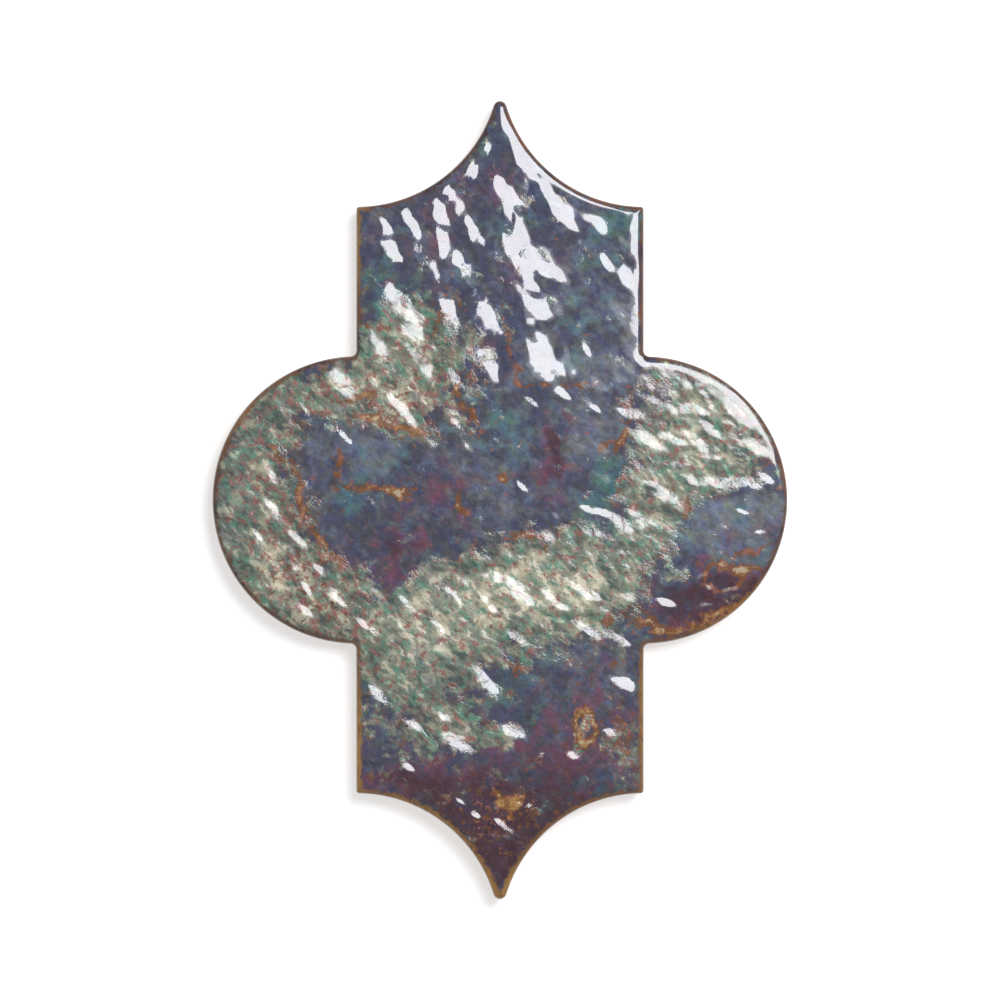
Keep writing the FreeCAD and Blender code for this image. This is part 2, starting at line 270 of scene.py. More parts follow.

# %% [markdown]
# ## Where the face glints
# A glossy face shows its lumps by what they mirror. Random lumps give random glints, but this face
# has glints of its own: a crowd of slanting ones on the upper neck, small ones in the pale clouds and
# hardly any in the middle. So each one is given as a short stroke, and a stroke becomes a row of round
# facets. In the clouds they are narrower, because crystals lie there and break the mirror up.

# %% Glints, region by region
# Each mark is: x, y, half-length, half-width and turn in degrees of the glint that it makes.
MARKS = {
    "upper tip": [
        (-3.5, 88, 2, 0.9, -35), (-8, 83, 2.5, 1.5, -70), (-13, 77.5, 3.5, 1.8, -20),
        (6.5, 84, 5, 1.8, -50), (13, 76.5, 5, 2.2, -42), (23, 71, 4, 1.2, -20),
    ],
    "upper neck, left": [
        (-15, 71, 3.2, 1.6, -30), (-8, 70.5, 6.5, 1.8, -58), (-28.5, 69, 3.2, 1.8, -55),
        (-22, 70, 4, 1.5, -60), (-27, 62, 3.6, 1.6, -30), (-18, 59.5, 5.5, 1.4, -50),
        (-10.5, 60.5, 6, 2.2, -40), (-26.5, 51, 4, 1.9, -55), (-22, 43.5, 3.6, 1.9, -60),
        (-12.5, 46.5, 4, 1.4, -62), (-31, 39, 3, 1.3, -50), (-3, 46.5, 4.4, 2.1, -35),
    ],
    "upper neck, middle": [
        (0.5, 78, 4.4, 1.9, -45), (4.5, 71, 4.8, 2.2, -75), (3.5, 62, 7.5, 3.0, -60),
        (14, 58, 4.8, 2.5, -22), (6, 52, 6.5, 2.2, -42), (13.5, 48.5, 4, 1.5, -10),
        (8.5, 44.5, 3.4, 1.4, -80), (10, 37.5, 5.6, 3.4, -32), (-3.5, 34, 5.2, 2.5, -65),
    ],
    "upper neck, right": [
        (16.5, 70, 3.6, 2.2, -30), (26.5, 59.5, 2.3, 0.8, -50),
        (32, 55.5, 2.5, 1.1, -60), (21.5, 38, 1.8, 0.6, -55),
    ],
    "tongue": [
        (-40, 30, 3, 2.6, -40), (-25, 23, 5.5, 1.2, -50), (-18, 32.5, 1.8, 1.3, -30),
        (-11, 30.5, 3, 1.4, -50), (-48.5, 22.5, 2, 0.8, -60), (-38.5, 15.5, 2.2, 0.9, -45),
        (-11, 19, 1.5, 0.9, -55),
    ],
    "left lobe": [
        (-57, 7, 2.8, 0.8, -65), (-57, -2, 2.4, 1.2, -50), (-50.5, -10, 3, 1, -50),
        (-61, -8.5, 1.8, 0.8, -40), (-51.5, -16.5, 1.2, 1, 0), (-45, -17.5, 1.5, 1, 0),
        (-48.5, -21.5, 1.6, 0.9, -50), (-40.5, -24.5, 3, 1.1, -50), (-48.5, -28, 1.2, 1.1, 0),
        (-33, -32, 2.4, 0.8, -30), (-23.5, -26, 2.6, 0.9, -50),
    ],
    "great cloud": [
        (-15.5, -32.5, 2.8, 1, -50), (-12, -23.5, 2.5, 0.8, -40), (-2.5, -19.5, 2.5, 1.1, -25),
        (2.5, -20, 2.5, 1, -25), (5.5, -23.5, 3.5, 1.8, -40), (11.5, -23, 1.8, 1.6, 0),
        (21.5, -23.5, 1.6, 1.5, 0), (16, -27, 1.5, 0.8, 0), (-3, -26, 2.5, 0.9, -50),
        (22.5, -33, 3.5, 1.1, -32), (29, -34.5, 3.8, 1, -32), (4, -34.5, 2.8, 0.9, -35),
    ],
    "heart": [
        (12.5, -9.5, 1.3, 0.7, 0), (5.5, 3.5, 1.6, 0.4, -45), (7.5, 25, 1.8, 0.4, -35),
        (16, 26.5, 1.8, 0.4, -30), (24, 23, 1.2, 0.4, -40), (23, -2.6, 2.4, 0.6, -15),
        (27.5, -3.6, 2.2, 0.6, -25), (31.5, -7, 3, 0.9, -45),
    ],
    "right lobe": [
        (34.5, -4.5, 3.2, 1.3, -40), (33, 21.5, 3, 1, -10), (38, 25, 1.2, 0.8, 0),
        (45, 22, 2, 0.9, -15), (48.5, 23, 2, 0.9, -15), (37, 15, 3, 1.5, -25),
        (43, 15, 3, 1.4, -25), (48, 15.5, 2.2, 1.1, -20), (53, 17.5, 2.5, 1, -45),
        (41.5, 1.5, 4, 1.3, -40), (48, 5, 2, 1.1, -40), (54, 4, 2.6, 1.2, -25),
        (58.5, 4.5, 2.6, 1.2, -25), (63, 4.5, 2.6, 1.2, -25), (66.5, 5.5, 2, 1, -30),
        (65, 12.5, 3, 1.4, -20), (60, 22, 4.2, 2.2, -55), (41.5, -25.5, 1.9, 1.1, -20),
        (61, -3, 1.4, 0.6, -30), (56, -6.5, 1.0, 0.5, -50), (65, -8, 0.9, 0.5, 0),
    ],
    "lower neck": [
        (-31, -48, 2.8, 1, -55), (-3.5, -45, 4, 1.1, -60), (-11, -60.5, 4, 1.5, -25),
        (3.5, -58, 3, 1.3, -20), (-21.5, -56.5, 1.3, 1, 0), (-13.5, -54.5, 1.8, 0.9, 0),
        (-23.5, -66.5, 1.1, 0.9, -40), (33.5, -47, 1.7, 1.7, 0), (31, -45.6, 2.4, 0.7, 15),
        (18.5, -63.7, 1.3, 0.9, -30), (27.5, -58, 1.5, 0.8, -20),
    ],
    "foot": [
        (1, -81.5, 3, 0.7, -40), (6.5, -76.5, 2.2, 0.6, -10), (-6.5, -78.8, 1, 0.7, 0),
        (-10, -75.5, 1.2, 0.5, -40), (1.5, -87.5, 1.0, 0.5, -60),
    ],
}
CLOUDED = ("tongue", "left lobe", "great cloud", "right lobe")
IN_CLOUDS = 0.64
BEAD_STEP = 0.75


def beads(marks):
    """Each mark as a row of round facets along it: x, y and half-width."""
    rows = []
    for x, y, long, short, degrees in marks:
        reach, turn = max(long - short, 0.0), math.radians(degrees)
        share = np.linspace(-reach, reach, math.ceil(reach / (BEAD_STEP * short)) + 1)
        share = share if reach > 0 else np.zeros(1)
        row = [x + share * math.cos(turn), y + share * math.sin(turn), np.full(len(share), short)]
        rows.append(np.stack(row, axis=1))
    return np.concatenate(rows)


def all_facets():
    """Every region's marks as facets, narrower where crystals lie on the glaze."""
    narrowed = []
    for region, marks in MARKS.items():
        share = IN_CLOUDS if region in CLOUDED else 1.0
        narrowed += [(x, y, long, short * share, degrees) for x, y, long, short, degrees in marks]
    return beads(narrowed)


FACETS = all_facets()
print(f"{sum(len(marks) for marks in MARKS.values())} glints as {len(FACETS)} facets")

# %% [markdown]
# ## A face that mirrors the lamp
# A place on the face glints when it faces half-way between the lamp and the eye. So each facet adds a
# piece of a plane that is tipped that way, faded out around it. Random lumps between the facets keep
# the face alive: they are low and long, run down to the right as the marks do, and are strongest on
# the upper neck.

# %% Random lumps and tipped planes
BEAT_WAY = -52
# Where the face is beaten more or less than usual. Each place is: what it is, x, y, half-length,
# half-width, turn in degrees, weight.
BEATING = [
    ("the upper neck is beaten hardest", -8, 62, 30, 24, 0, 0.5),
    ("beside its right edge it is smooth", 27, 48, 9, 24, 0, -0.9),
    ("the hook in the middle is smooth", -22, -4, 20, 10, 0, -0.5),
    ("the heart is nearly smooth", 12, 10, 18, 12, 0, -0.45),
    ("the blue pool is smooth", 57, -8, 13, 9, 0, -0.4),
]
USUAL_BEATING = 0.6
LEAST_BEATING = 0.08
# Small lumps: each kind's length along the diagonal, width, share of the height, and seed.
SMALL_LUMPS = [(6.0, 4.0, 1.0, 11), (3.0, 2.2, 0.55, 12)]
LUMP_HEIGHT = 0.4
SWELL_HEIGHT = 0.16
SWELL_SIZE = 19.0
WINDOW = 2.6


def mirror_slope(x, y):
    """The fall of the face along x and y that faces half-way between the lamp and the eye."""
    here = np.array([x, y, THICKNESS])
    ways = [np.array(there) - here for there in (LAMP, EYE)]
    middle = sum(way / np.linalg.norm(way) for way in ways)
    return middle[:2] / middle[2]


def facet(points, x, y, short):
    """A plane that mirrors the lamp, faded out by exp(-r^2) with r in windows of 2.6 half-widths."""
    away = points - [x, y]
    window = np.exp(-np.sum(away**2, axis=1) / (WINDOW * short) ** 2)
    return -window * (away @ mirror_slope(x, y))


def rolling(points):
    """Small lumps along the diagonal, as strong as the beating is there, and broad swells."""
    along, across = turned(points, BEAT_WAY)
    x, y = points.T
    strength = np.maximum(USUAL_BEATING + patches(points, BEATING), LEAST_BEATING)
    small = np.zeros(len(points))
    for long, wide, share, seed in SMALL_LUMPS:
        small += share * lumps(along / long, across / wide, seed)
    return LUMP_HEIGHT * strength * small + SWELL_HEIGHT * lumps(x / SWELL_SIZE, y / SWELL_SIZE, 13)


tilt = math.degrees(math.atan(math.hypot(*mirror_slope(0, 0))))
print(f"to glint, the middle of the face tilts by {tilt:.0f} degrees")

# %% [markdown]
# ## Weights by least squares
# Neighbouring facets overlap, and the random lumps tilt the face as well, so what comes out isn't what
# was put in. Trying weights by hand for hundreds of facets is hopeless. Least squares finds the weights
# with which all facets together tip every mark as far as it needs, and leave a lattice of calm places
# between the marks without a glint. Then tanh holds the relief within what a coat of glaze can have.

# %% Weights and relief
# A mark is tipped a little past the lamp's middle. EASE keeps the weights small, and CALM is what a
# calm place counts beside a mark. The calm places keep clear of a mark by its widths and a little more.
# PROBE is the distance, to either side of a place, over which the fall of a form is measured.
TIPPED = 1.1
EASE = 0.12
CALM = 0.35
CALM_STEP = 3.0
CLEAR_WIDTHS = 1.5
CLEAR = 1.0
PROBE = 0.1
RELIEF_LIMIT = 0.55


def fall(form, places):
    """How far a form falls at each place towards the lamp, as a share of what the mirror needs."""
    slopes = np.array([mirror_slope(*place) for place in places])
    needed = np.linalg.norm(slopes, axis=1, keepdims=True)
    step = PROBE * slopes / needed
    lost = form(places - step) - form(places + step)
    return (lost.T / (2 * PROBE * needed.ravel())).T


def calm_places():
    """A lattice of places away from all marks, where the face should mirror no lamp."""
    columns, rows = (np.arange(-side / 2, side / 2, CALM_STEP) for side in (WIDTH, LENGTH))
    places = np.stack(np.meshgrid(columns, rows), axis=2).reshape(-1, 2)
    places = places[inset(places) > BORDER]
    apart = np.linalg.norm(places[:, None] - FACETS[None, :, :2], axis=2) - CLEAR_WIDTHS * FACETS[:, 2]
    return places[apart.min(axis=1) > CLEAR]


def facet_weights():
    """The weights w for which |shares w - missing|^2 + ease |w|^2 is least."""
    calm = calm_places()
    places = np.concatenate([FACETS[:, :2], calm])
    trust = np.concatenate([np.ones(len(FACETS)), np.full(len(calm), CALM)])
    wanted = np.concatenate([np.full(len(FACETS), TIPPED), np.zeros(len(calm))])
    shares = fall(lambda at: np.stack([facet(at, *one) for one in FACETS], axis=1), places)
    missing = wanted - fall(rolling, places)
    shares, missing = shares * trust[:, None], missing * trust
    return np.linalg.solve(shares.T @ shares + EASE * np.eye(len(FACETS)), shares.T @ missing)


WEIGHTS = facet_weights()


def relief(points):
    """Facets, lumps and swells added up, in millimetres about zero, and held within a limit by tanh."""
    total = rolling(points) + sum(weight * facet(points, *one) for weight, one in zip(WEIGHTS, FACETS))
    return RELIEF_LIMIT * np.tanh(total / RELIEF_LIMIT)


print(f"weights from {WEIGHTS.min():.2f} to {WEIGHTS.max():.2f}")

# %% [markdown]
# ## A grid that fits the lantern
# One rectangular grid can't follow this outline without badly pinched cells. Five patches can: a
# square in the middle, a neck above and below it, and a lobe to each side. A patch is spread
# between its four border curves: blend the two pairs of opposite curves, and take away the part
# that was counted twice. Neighbours share their border points, and welding the patches by position
# then closes the sheet.

# %% Blended patches, welded into one sheet
# Numbers of the border's points: middle of the lobe's rim, inward corner, mitre and tip.
LOBE_END, CORNER_STOP, MITRE, TIP_STOP = 50, 92, 148, 198
ROUND = len(border)
MIDDLE_CELLS = 100
WELD = 1e-5


def spread(bottom, top, left, right):
    """Opposite curves blended both ways, less the blend of the corners. Rows go from the bottom up."""
    u = np.linspace(0, 1, len(bottom))[None, :, None]
    v = np.linspace(0, 1, len(left))[:, None, None]
    between_rows = (1 - v) * bottom[None] + v * top[None]
    between_columns = (1 - u) * left[:, None] + u * right[:, None]
    twice = (1 - v) * ((1 - u) * bottom[0] + u * bottom[-1]) + v * ((1 - u) * top[0] + u * top[-1])
    return between_rows + between_columns - twice


def run(start, stop):
    """The border's points from one number to another, either way round the loop."""
    step = 1 if stop > start else -1
    return border[np.arange(start, stop + step, step) % ROUND]


def chord(start, stop):
    """A straight row of points across the sheet between two of the border's points."""
    return np.linspace(border[start % ROUND], border[stop % ROUND], MIDDLE_CELLS + 1)


def sheet_patches():
    """The five grids of the sheet: the middle, the upper neck, the right lobe and their images."""
    half = 2 * TIP_STOP
    upper_left, lower_left, lower_right = half - CORNER_STOP, half + CORNER_STOP, ROUND - CORNER_STOP
    roof, floor_line = chord(upper_left, CORNER_STOP), chord(lower_left, lower_right)
    left_wall, right_wall = chord(lower_left, upper_left), chord(lower_right, CORNER_STOP)
    middle = spread(floor_line, roof, left_wall, right_wall)
    left_rim, right_rim = run(upper_left, half - MITRE), run(CORNER_STOP, MITRE)
    neck = spread(roof, run(half - MITRE, MITRE), left_rim, right_rim)
    lower_rim, upper_rim = run(ROUND - CORNER_STOP, ROUND - LOBE_END), run(CORNER_STOP, LOBE_END)
    lobe = spread(lower_rim, upper_rim, right_wall, run(ROUND - LOBE_END, ROUND + LOBE_END))
    return [middle, neck, -neck, lobe, -lobe]


def grid_faces(rows, columns, first=0):
    """Four corners of every cell of a grid whose points are numbered row by row."""
    corner = first + (np.arange(rows - 1)[:, None] * columns + np.arange(columns - 1)).ravel()
    return np.stack([corner, corner + 1, corner + columns + 1, corner + columns], axis=1)


def welded_sheet():
    """Points and cells of the whole sheet. The border's own points come first, in their order."""
    grids = sheet_patches()
    points, faces, first = [border], [], ROUND
    for grid in grids:
        faces.append(grid_faces(*grid.shape[:2], first))
        points.append(grid.reshape(-1, 2))
        first += grid.shape[0] * grid.shape[1]
    points = np.concatenate(points)
    places = np.round(points / WELD).astype(np.int64)
    _, original, number = np.unique(places, axis=0, return_index=True, return_inverse=True)
    order = np.argsort(original)
    rank = np.empty_like(order)
    rank[order] = np.arange(len(order))
    return points[original[order]], rank[number.ravel()][np.concatenate(faces)]


sheet, cells = welded_sheet()
print(f"{len(sheet)} points and {len(cells)} cells in the sheet")

# %% [markdown]
# ## Where the glaze stops
# The glazed face is dipped or sprayed, and the coat runs a little way down the side before it sets.
# Its lower edge is a wavy bead that stands proud of the clay. Below it the clay is bare. The side is
# a profile carried around the edge: every row of points has a height and a setback, and the rows
# near the bead follow its wavy line, so the step stays crisp.

# %% Rim, side and foot as rows around the edge
# Distances from the edge of the rows on the rim and, below, of the rows on the back.
RIM_INSETS = [3.3, 2.7, 2.2, 1.75, 1.35, 1.0, 0.7, 0.45, 0.25, 0.1, 0.0]
COAT = 0.22
# Rows on the side: shares of its height on glaze and on clay, and between them the bead's, each as
# height above its lower edge and setback.
GLAZE_ROWS = [0.65, 0.35]
BEAD_ROWS = [(0.32, 0.03), (0.1, 0.1), (0.0, COAT)]
CLAY_ROWS = [0.72, 0.42, 0.16]
BACK_INSETS = [1.3, 2.1, 3.0]
BEAD_LEVEL = 4.5


def drip_line():
    """Height of the bead around the edge: a slow wave, quicker waves, and a few longer drips."""
    x, y = edge.T
    slow = lumps(x / 23 + 5, y / 23 + 3, 21)
    quick = lumps(x / 6.3, y / 6.3, 22)
    drips = ramp(lumps(x / 3.4, y / 3.4, 23), 0.15, 0.5)
    return BEAD_LEVEL + 1.6 * slow + 0.8 * quick - 1.1 * drips


def ring(setback, height):
    """The edge moved inwards by a setback, at a height, as points in space."""
    flat = edge - way_out * setback
    return np.column_stack([flat, np.broadcast_to(height, len(edge))])


def side_rows(top):
    """Rows from under the rim, at the given top, past the bead to the foot, and their glaze."""
    bead = drip_line()
    rows = [ring(0.0, bead + (top - bead) * share) for share in GLAZE_ROWS]
    rows += [ring(setback, bead + above) for above, setback in BEAD_ROWS]
    rows += [ring(COAT, FOOT_BEVEL + (bead - FOOT_BEVEL) * share) for share in CLAY_ROWS]
    rows += [ring(COAT, FOOT_BEVEL), ring(COAT + FOOT_BEVEL, 0.0)]
    glazed = len(GLAZE_ROWS) + len(BEAD_ROWS) - 1
    return rows, [1.0] * glazed + [0.0] * (len(rows) - glazed)


def rim_rows():
    """Rows of flat points from the border out to the edge."""
    return [border + (edge - border) * (1 - depth / BORDER) for depth in RIM_INSETS]


print(f"the bead lies {drip_line().min():.1f} to {drip_line().max():.1f} mm above the back")

# %% [markdown]
# ## The back
# Tiles like this have keys pressed into the back: shallow grooves with round ends, which the adhesive
# fills. Sinking them into the face's sheet would leave ragged flanks, because its cells don't follow
# the grooves. So the back is a flat drawing of closed loops: the border, the rim of each groove and
# its floor. A constrained triangulation fills the drawing and keeps every loop as a line of edges, and
# the floors are then sunk into the clay.

# %% Key grooves
KEY_DEPTH = 0.8
KEY_HALF_WIDTH = 2.0
KEY_PITCH = 8.0
KEY_MARGIN = 7.0
KEY_FLANK = 0.2
CAP_CELLS = 14
WITHIN_LOOPS = 1
SAME_PLACE = 1e-6


def groove_lines():
    """Levels and half-lengths of the grooves' middle lines, which end at the margin."""
    margin = KEY_MARGIN + KEY_HALF_WIDTH
    level = np.arange(KEY_PITCH / 2, SHOULDER_LEVEL - margin, KEY_PITCH)
    reach = LOBE - margin
    on_lobe = HALF_NECK + np.sqrt(np.maximum(reach**2 - level**2, 0))
    end = np.where(level < reach, on_lobe, HALF_NECK - margin)
    return np.concatenate([level, -level]), np.concatenate([end, end])


def groove_loop(level, end, radius):
    """A closed loop round a middle line: a half circle about each of its two ends."""
    turn = np.linspace(-math.pi / 2, math.pi / 2, CAP_CELLS + 1)
    cap = radius * np.stack([np.cos(turn), np.sin(turn)], axis=1)
    return np.concatenate([cap + [end, level], [-end, level] - cap])


def ring_edges(first, count):
    """Pairs of neighbours in a closed loop of points."""
    number = np.arange(count)
    return first + np.stack([number, (number + 1) % count], axis=1)


def grooved_back():
    """Points and triangles of the back: the border first, then the grooves' rims and floors."""
    lines = list(zip(*groove_lines()))
    rims = [groove_loop(level, end, KEY_HALF_WIDTH + KEY_FLANK) for level, end in lines]
    floors = [groove_loop(level, end, KEY_HALF_WIDTH - KEY_FLANK) for level, end in lines]
    loops = [border, *rims, *floors]
    firsts = np.cumsum([0] + [len(loop) for loop in loops])
    edges = np.concatenate([ring_edges(first, len(loop)) for first, loop in zip(firsts, loops)])
    flat = np.concatenate(loops)
    found = delaunay_2d_cdt(flat.tolist(), edges.tolist(), [], WITHIN_LOOPS, SAME_PLACE)
    triangles = np.array(found[2])
    start, second, third = (flat[triangles[:, corner]] for corner in range(3))
    across, along = second - start, third - start
    upward = across[:, 0] * along[:, 1] > across[:, 1] * along[:, 0]
    triangles = np.where(upward[:, None], triangles[:, ::-1], triangles)
    height = np.where(np.arange(len(flat)) < firsts[1 + len(rims)], 0.0, KEY_DEPTH)
    return np.column_stack([flat, height]), triangles


back, back_triangles = grooved_back()
print(f"{len(groove_lines()[0])} grooves {KEY_DEPTH} mm deep, {len(back_triangles)} triangles")

# %% [markdown]
# ## Where the colours lie
# A reactive glaze is one mixture that separates while it melts. Where it lies thick it stays a dark,
# clear navy, with violet, teal and steel blue drifting through it. Elsewhere crystals gather in clouds
# of pale flecks. Noise alone would put the clouds anywhere, so they are listed as soft
# ellipses, and noise only swirls their borders. Dark pools are ellipses with a weight below zero. All
# that is finer than a few millimetres is left to the material.

# %% Clouds and tints
# Each line is: what it is, x, y, half-length, half-width, turn in degrees, weight.
CLOUDS = [
    ("band round the left lobe", -59, 0, 12, 28, 0, 0.68),
    ("lower left of that lobe", -48, -23, 17, 11, -30, 0.66),
    ("tongue above the middle", -30, 24, 24, 6.5, -8, 0.8),
    ("foot of the upper neck", -23, 38, 15, 11, 0, 0.78),
    ("top of the right lobe", 49, 15, 20, 17, -10, 0.78),
    ("left of the blue pool", 37, -3, 10, 12, 0, 0.55),
    ("great cloud below the middle", 8, -22, 28, 12, 2, 1.3),
    ("its left end", -16, -33, 14, 9, 30, 0.5),
    ("left of the lower neck", -20, -46, 17, 17, 0, 0.45),
    ("pale heap low on the neck", -7, -58, 10, 4, -12, 0.45),
    ("speckled lower right edge", 32, -62, 5, 14, 0, 0.4),
    ("heap in the ring", 21, -57, 1.8, 3.6, 0, 1.0),
    ("blue pool in the right lobe", 58, -5, 13, 6, 12, -0.75),
    ("dark foot of the right lobe", 53, -24, 18, 8, 15, -0.7),
    ("blue eye in the middle", -30, 11, 9, 8.5, 0, -0.6),
    ("navy hook", -22, -9, 20, 10, -12, -0.6),
    ("its upper end", -44, 11, 5, 12, 15, -0.45),
    ("steel heart", 12, 12, 22, 15, 0, -0.55),
    ("violet lower neck", 18, -52, 17, 13, -20, -0.12),
    ("clear right side of the upper neck", 26, 50, 11, 22, 0, -0.3),
]
VIOLETS = [
    ("core of the hook", -26, -12, 7, 9, 15, 1.25),
    ("hook", -24, -4, 22, 12, 0, 0.05),
    ("stripe in the heart", 14, 12, 3.2, 12, -5, 1.1),
    ("heart", 4, 12, 16, 12, 0, 0.25),
    ("dark foot of the right lobe", 54, -24, 19, 8, 15, 1.9),
    ("lower neck", 18, -55, 24, 20, 0, 0.7),
    ("foot of the tile", 0, -86, 34, 18, 0, 2.2),
    ("lower left neck", -26, -69, 14, 6, 0, 0.7),
    ("upper neck", 0, 68, 22, 16, 0, 0.3),
    ("left in the upper neck", -27, 57, 5, 4, 0, 0.8),
    ("under the upper tip", -3, 80, 6, 7, 0, 0.7),
    ("between eye and heart", -14, 5, 7, 4, 0, 0.4),
    ("streak beside the heart", -12, -4, 2, 5, 0, 0.6),
]
TEALS = [
    ("upper neck left", -32, 52, 7, 11, 0, 1.0),
    ("tail of the hook", -25, -24, 8, 5, 0, 0.8),
    ("blue eye", -30, 11, 9, 8, 0, 0.6),
    ("right of the heart", 26, 6, 9, 12, 0, 0.65),
    ("left rim", -68, -4, 6, 26, 0, 0.5),
    ("upper neck right", 29, 68, 8, 8, 0, 0.8),
    ("blue pool", 60, -5, 11, 7, 12, 0.75),
    ("lower neck", -20, -46, 16, 14, 0, 0.35),
    ("spot in the blue eye", -25, 6, 3, 2, 0, 1.2),
    ("right of the purple core", -16, -13, 4, 5, 0, 0.9),
    ("under the heart", 24, -6, 5, 4, 0, 0.8),
]
STEELS = [
    ("upper neck", 0, 58, 26, 26, 0, 0.15),
    ("right of the upper neck", 25, 48, 10, 26, 0, 0.35),
    ("foot of the upper neck", 18, 33, 16, 4, 0, 0.6),
    ("heart", 8, 12, 24, 16, 0, 0.3),
    ("middle of the heart", 1, 2, 8, 7, 0, 0.4),
    ("right of the stripe", 22, 16, 5, 6, 0, 0.7),
    ("under the heart", 24, -6, 5, 4, 0, 0.5),
    ("tail of the hook", -18, -22, 4, 4, 0, 0.9),
    ("blue eye", -32, 12, 7, 6, 0, 0.9),
    ("blue pool in the right lobe", 58, -5, 14, 8, 12, 1.3),
    ("blue left of the middle", -45, 12, 5, 10, 0, 0.6),
    ("lower neck right", 20, -42, 12, 8, 0, 0.5),
]
RUSTS = [
    ("tongue", -26, 24, 14, 6, -8, 0.8),
    ("left lobe", -54, 2, 11, 24, 0, 0.6),
    ("lower left lobe", -46, -22, 16, 9, -30, 0.7),
    ("heart of the foot", 1, -80, 16, 12, 0, 1.4),
    ("lower right neck", 22, -54, 13, 14, 0, 0.9),
    ("under the right lobe", 54, -31, 16, 5, 15, 1.0),
    ("edge of the blue eye", -30, 2, 10, 3, 0, 0.6),
    ("foot of the left lobe", -40, -30, 8, 6, 0, 0.4),
    ("foot of the upper neck", -10, 32, 16, 5, 0, 0.4),
]
tinted = len(VIOLETS) + len(TEALS) + len(STEELS) + len(RUSTS)
print(f"{len(CLOUDS)} ellipses for the clouds and {tinted} for the tints")

# %% [markdown]
# ## Veins, rings and amber
# Iron comes out of the melt last. It draws rusty and gold lines along the clouds and round a few old
# bubbles, and it shows as amber where the coat is thin at the edge. A curve of its own for each line
# would be work with nothing gained, because the lines are short and ragged: a long narrow ellipse makes
# a vein, and a ring is the soft line round an ellipse.

# %% Veins, rings and amber
# Each vein and amber place is, as above: what it is, x, y, half-length, half-width, turn, weight.
VEINS = [
    ("tongue, upper line", -35, 26, 6, 1.1, 3, 1.3),
    ("tongue, lower line", -33, 20.8, 5, 1.0, -10, 1.3),
    ("tongue, right end", -22, 17.5, 7, 1.0, -15, 1.3),
    ("blue eye, left side", -40.5, 8, 6, 1.1, 88, 1.0),
    ("blue eye, floor", -31, 3, 10, 1.0, 0, 1.0),
    ("gold drop at its end", -25, 2, 2.4, 2.0, 0, 1.2),
    ("left lobe, upper border", -55.5, 11, 5, 1.0, -50, 0.9),
    ("left lobe, middle border", -50.5, 3, 7, 1.2, -85, 1.0),
    ("left lobe, lower border", -44, -10.5, 10, 1.1, -53, 1.0),
    ("right of the tongue", -7, 21, 6, 1.1, -65, 0.9),
    ("foot of the upper neck", -9.5, 28, 5, 1.1, 60, 0.8),
    ("under the upper neck", 15, 29, 13, 1.0, 0, 0.9),
    ("down the upper neck", 3.5, 36, 8, 0.9, -75, 0.8),
    ("left in the upper neck", -16, 45, 6, 1.4, 70, 0.8),
    ("across the left neck", -31, 43.5, 5, 0.9, 0, 0.7),
    ("top of the great cloud", 6, -9, 5, 1.3, 0, 0.9),
    ("bubble beside it", 11.5, -12.5, 2.5, 1.1, -60, 0.9),
    ("left of the blue pool", 46.5, -3, 5, 1.2, 75, 0.8),
    ("under the blue pool", 62, -13, 8, 1.2, 12, 0.9),
    ("gold line in the dark foot", 60, -17.5, 6, 1.1, -5, 1.4),
    ("under the right lobe", 40, -31.5, 8, 1.8, -8, 1.35),
    ("edge of the dark foot", 56, -27.5, 8, 1.5, 28, 1.35),
    ("right of the lower neck", 29.5, -41, 2.4, 1.5, 0, 0.9),
    ("middle of the lower neck", 5, -43, 2.2, 1.4, 0, 0.8),
    ("right end of the great cloud", 27.5, -31, 3, 1.2, 80, 0.8),
    ("gold streak beside the heart", -9.5, -1, 3.6, 1.1, 90, 1.3),
    ("rust spot in the heart", 0.5, 5, 2.2, 1.5, 0, 1.1),
    ("red spot right of the heart", 26, 13, 2.8, 1.4, 10, 1.0),
    ("gold streak left of the right cloud", 30.3, 16.5, 4, 1.2, 75, 1.3),
    ("heart of the foot, left", 0.5, -75, 4, 1.5, -65, 1.15),
    ("heart of the foot, right", 4.5, -76, 3, 1.4, 35, 1.15),
]
# A ring is: what it is, x, y, half-width, half-height, half-width of its line, weight.
RINGS = [
    ("gold ring in the lower neck", 21.3, -57, 2.5, 4.2, 1.1, 1.35),
    ("beside it, towards the edge", 31, -60, 1.6, 3.2, 0.9, 0.7),
    ("in the dark foot of the right lobe", 56, -19.5, 5.0, 3.2, 0.8, 0.8),
]
AMBERS = [
    ("lower left neck", -36, -62, 3, 20, 0, 1.0),
    ("lower left hollow", -15, -84, 20, 7, -40, 1.0),
    ("foot tip", 0, -98, 5, 6, 0, 0.8),
    ("upper left neck", -36, 66, 3, 14, 0, 0.7),
    ("left lobe", -66, 22, 7, 14, 25, 0.4),
    ("lower right hollow", 17, -82, 18, 6, 40, 0.45),
    ("lower right neck", 36, -54, 3, 18, 0, 0.6),
    ("foot of the right lobe", 58, -30, 14, 5, 25, 0.6),
]


def rings(points, spots):
    """Soft closed lines added up: weight times exp(-t^2), with t across the line in half-widths."""
    total = np.zeros(len(points))
    for _, x, y, wide, high, line, weight in spots:
        reach = np.hypot((points[:, 0] - x) / wide, (points[:, 1] - y) / high)
        total += weight * np.exp(-(((reach - 1) * (wide + high) / 2 / line) ** 2))
    return total


print(f"{len(VEINS)} veins and {len(RINGS)} rings")

# %% [markdown]
# ## Swirls and crust
# A melt is stirred by its own bubbles, so none of these shapes keeps a smooth border. Moving the
# places about by noise before the ellipses are read does the same: wide swirls for clouds and tints,
# and smaller waves for the veins, which have to stay lines. The clouds' crystals also stand out of the
# melt as a fine crust, which belongs in the mesh as the lumps do. It runs in strokes, about the way the
# glints do, and fades out towards the rolled edge.

# %% Swirled places, clouds, veins and crust
STROKE_WAY = -40
# Each swirl is: size, reach and seed.
SWIRLS = [(11, 6.0, 31), (4.2, 2.6, 33)]
